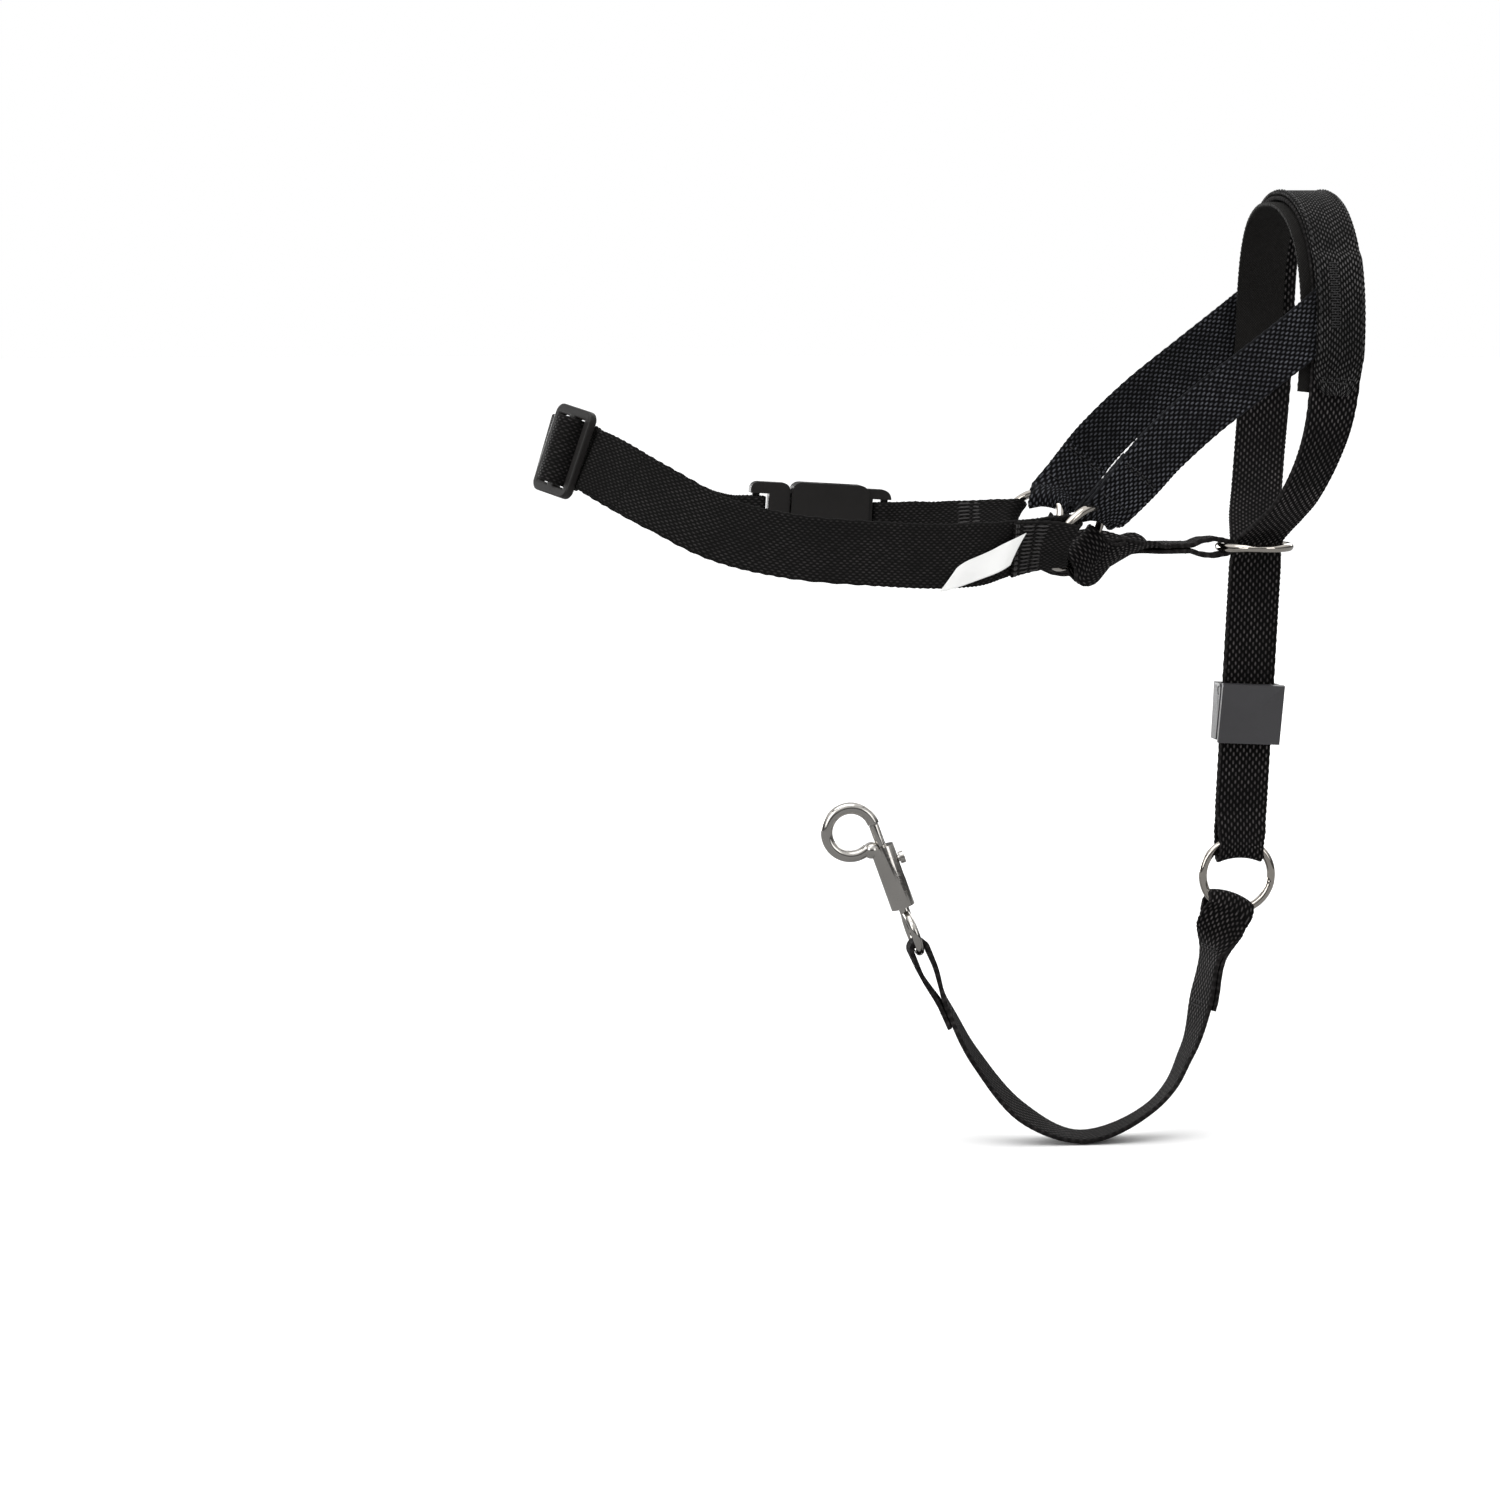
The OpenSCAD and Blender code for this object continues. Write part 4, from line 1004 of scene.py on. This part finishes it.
for node, material, width in (
        ("clamp_base", GREY_PLASTIC, 0.35), ("clamp_lever", GREY_PLASTIC, 0.35),
        ("tri_glide", BLACK_PLASTIC, 0.7), ("buckle_socket", BLACK_PLASTIC, 0.6),
        ("buckle_plug", BLACK_PLASTIC, 0.45), ("buckle_arm_upper", BLACK_PLASTIC, 0.3),
        ("buckle_arm_lower", BLACK_PLASTIC, 0.3), ("snap_swivel", SNAP_METAL, 0.2),
        ("snap_hook", SNAP_METAL, 0.25), ("snap_plunger", SNAP_METAL, 0.2)):
    ease_edges(node, material, width)


def bolt_spring():
    """The coil behind the bolt, in spring steel, on its own copy of the CAD mesh."""
    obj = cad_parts["snap_spring"]
    obj.data.materials.clear()
    obj.data.materials.append(SPRING)
    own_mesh(obj)


bolt_spring()


# ---------- floor, light and camera ----------
def stage_mesh(name, verts, faces, material):
    mesh = bpy.data.meshes.new(name)
    mesh.from_pydata(verts, [], faces)
    mesh.polygons.foreach_set("use_smooth", [True] * len(faces))
    mesh.materials.append(material)
    obj = bpy.data.objects.new(name, mesh)
    bpy.context.scene.collection.objects.link(obj)
    obj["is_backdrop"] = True
    return obj


def floor(z):
    """A wide pale floor, greyer in reflections so that polished metal keeps its contrast."""
    n = Nodes("floor")
    path = n.tree.nodes.new("ShaderNodeLightPath")
    n.set(color=n.mix(path.outputs["Is Glossy Ray"], (0.92, 0.92, 0.92), (0.24, 0.24, 0.24)), rough=0.9,
          specular=0.0)
    around, radius = 96, 8.0
    turns = [2 * math.pi * k / around for k in range(around)]
    rim = [(radius * math.cos(a), radius * math.sin(a), z) for a in turns]
    return stage_mesh("floor", rim, [list(range(around))], n.material)


FLOOR_GAP = 0.0005
floor(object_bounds()[0].z - FLOOR_GAP)


def light(name, kind, place, target, strength, **shape):
    lamp = bpy.data.lights.new(name, kind)
    lamp.energy = strength
    for key, value in shape.items():
        setattr(lamp, key, value)
    obj = bpy.data.objects.new(name, lamp)
    obj.location = place
    obj.rotation_mode = "QUATERNION"
    obj.rotation_quaternion = (Vector(target) - Vector(place)).to_track_quat("-Z", "Y")
    bpy.context.scene.collection.objects.link(obj)


AIM = (-0.08, 0, 0.06)
light("overhead", "SUN", (-0.6, -0.5, 2.2), AIM, 1.5, angle=math.radians(60))
light("key", "AREA", (-1.6, -1.5, 0.9), AIM, 12, shape="RECTANGLE", size=1.2, size_y=1.3)
light("fill", "AREA", (1.3, -1.7, 0.7), AIM, 6, shape="RECTANGLE", size=1.0, size_y=1.0)
light("rim", "AREA", (1.0, 1.7, 0.8), AIM, 7, shape="RECTANGLE", size=1.2, size_y=0.9)
light("edge", "AREA", (-1.15, 1.6, 0.25), AIM, 18, shape="RECTANGLE", size=1.3, size_y=0.7)


def studio_world():
    """White to the camera; to everything else a room that is bright overhead and dim near the horizon."""
    world = bpy.data.worlds.new("studio")
    world.use_nodes = True
    tree = world.node_tree
    background = tree.nodes["Background"]
    place = tree.nodes.new("ShaderNodeTexCoord")
    split = tree.nodes.new("ShaderNodeSeparateXYZ")
    ramp = tree.nodes.new("ShaderNodeMapRange")
    ramp.interpolation_type = "SMOOTHSTEP"
    low, high, dim, bright = 0.1, 0.75, 0.08, 1.0
    for k, value in enumerate((low, high, dim, bright)):
        ramp.inputs[k + 1].default_value = value
    path = tree.nodes.new("ShaderNodeLightPath")
    pick = tree.nodes.new("ShaderNodeMix")
    pick.inputs[3].default_value = 1.0
    tree.links.new(place.outputs["Generated"], split.inputs[0])
    tree.links.new(split.outputs[2], ramp.inputs[0])
    tree.links.new(path.outputs["Is Camera Ray"], pick.inputs[0])
    tree.links.new(ramp.outputs[0], pick.inputs[2])
    tree.links.new(pick.outputs[0], background.inputs[1])
    background.inputs[0].default_value = (1, 1, 1, 1)
    bpy.context.scene.world = world


studio_world()
bpy.context.scene.view_settings.view_transform = "Standard"

CAMERA_AZIMUTH = math.radians(-8)
CAMERA_ELEVATION = math.radians(6)
CAMERA_DISTANCE = 1.6
FRAME_WIDTH = 0.463         # width of the picture at the object's distance
AIM_RIGHT, AIM_UP = -0.1503, 0.0404     # the point that the camera looks at, from the lead ring's centre
SENSOR = 36.0
back = Vector((math.sin(CAMERA_AZIMUTH) * math.cos(CAMERA_ELEVATION),
               -math.cos(CAMERA_AZIMUTH) * math.cos(CAMERA_ELEVATION), math.sin(CAMERA_ELEVATION)))
right = Vector((math.cos(CAMERA_AZIMUTH), math.sin(CAMERA_AZIMUTH), 0))
up = back.cross(right)
camera_data = bpy.data.cameras.new("camera")
camera_data.sensor_width = SENSOR
camera_data.lens = SENSOR * CAMERA_DISTANCE / FRAME_WIDTH
camera = bpy.data.objects.new("camera", camera_data)
camera.location = right * AIM_RIGHT + up * AIM_UP + back * CAMERA_DISTANCE
camera.rotation_mode = "QUATERNION"
camera.rotation_quaternion = (-back).to_track_quat("-Z", "Y")
bpy.context.scene.collection.objects.link(camera)
bpy.context.scene.camera = camera
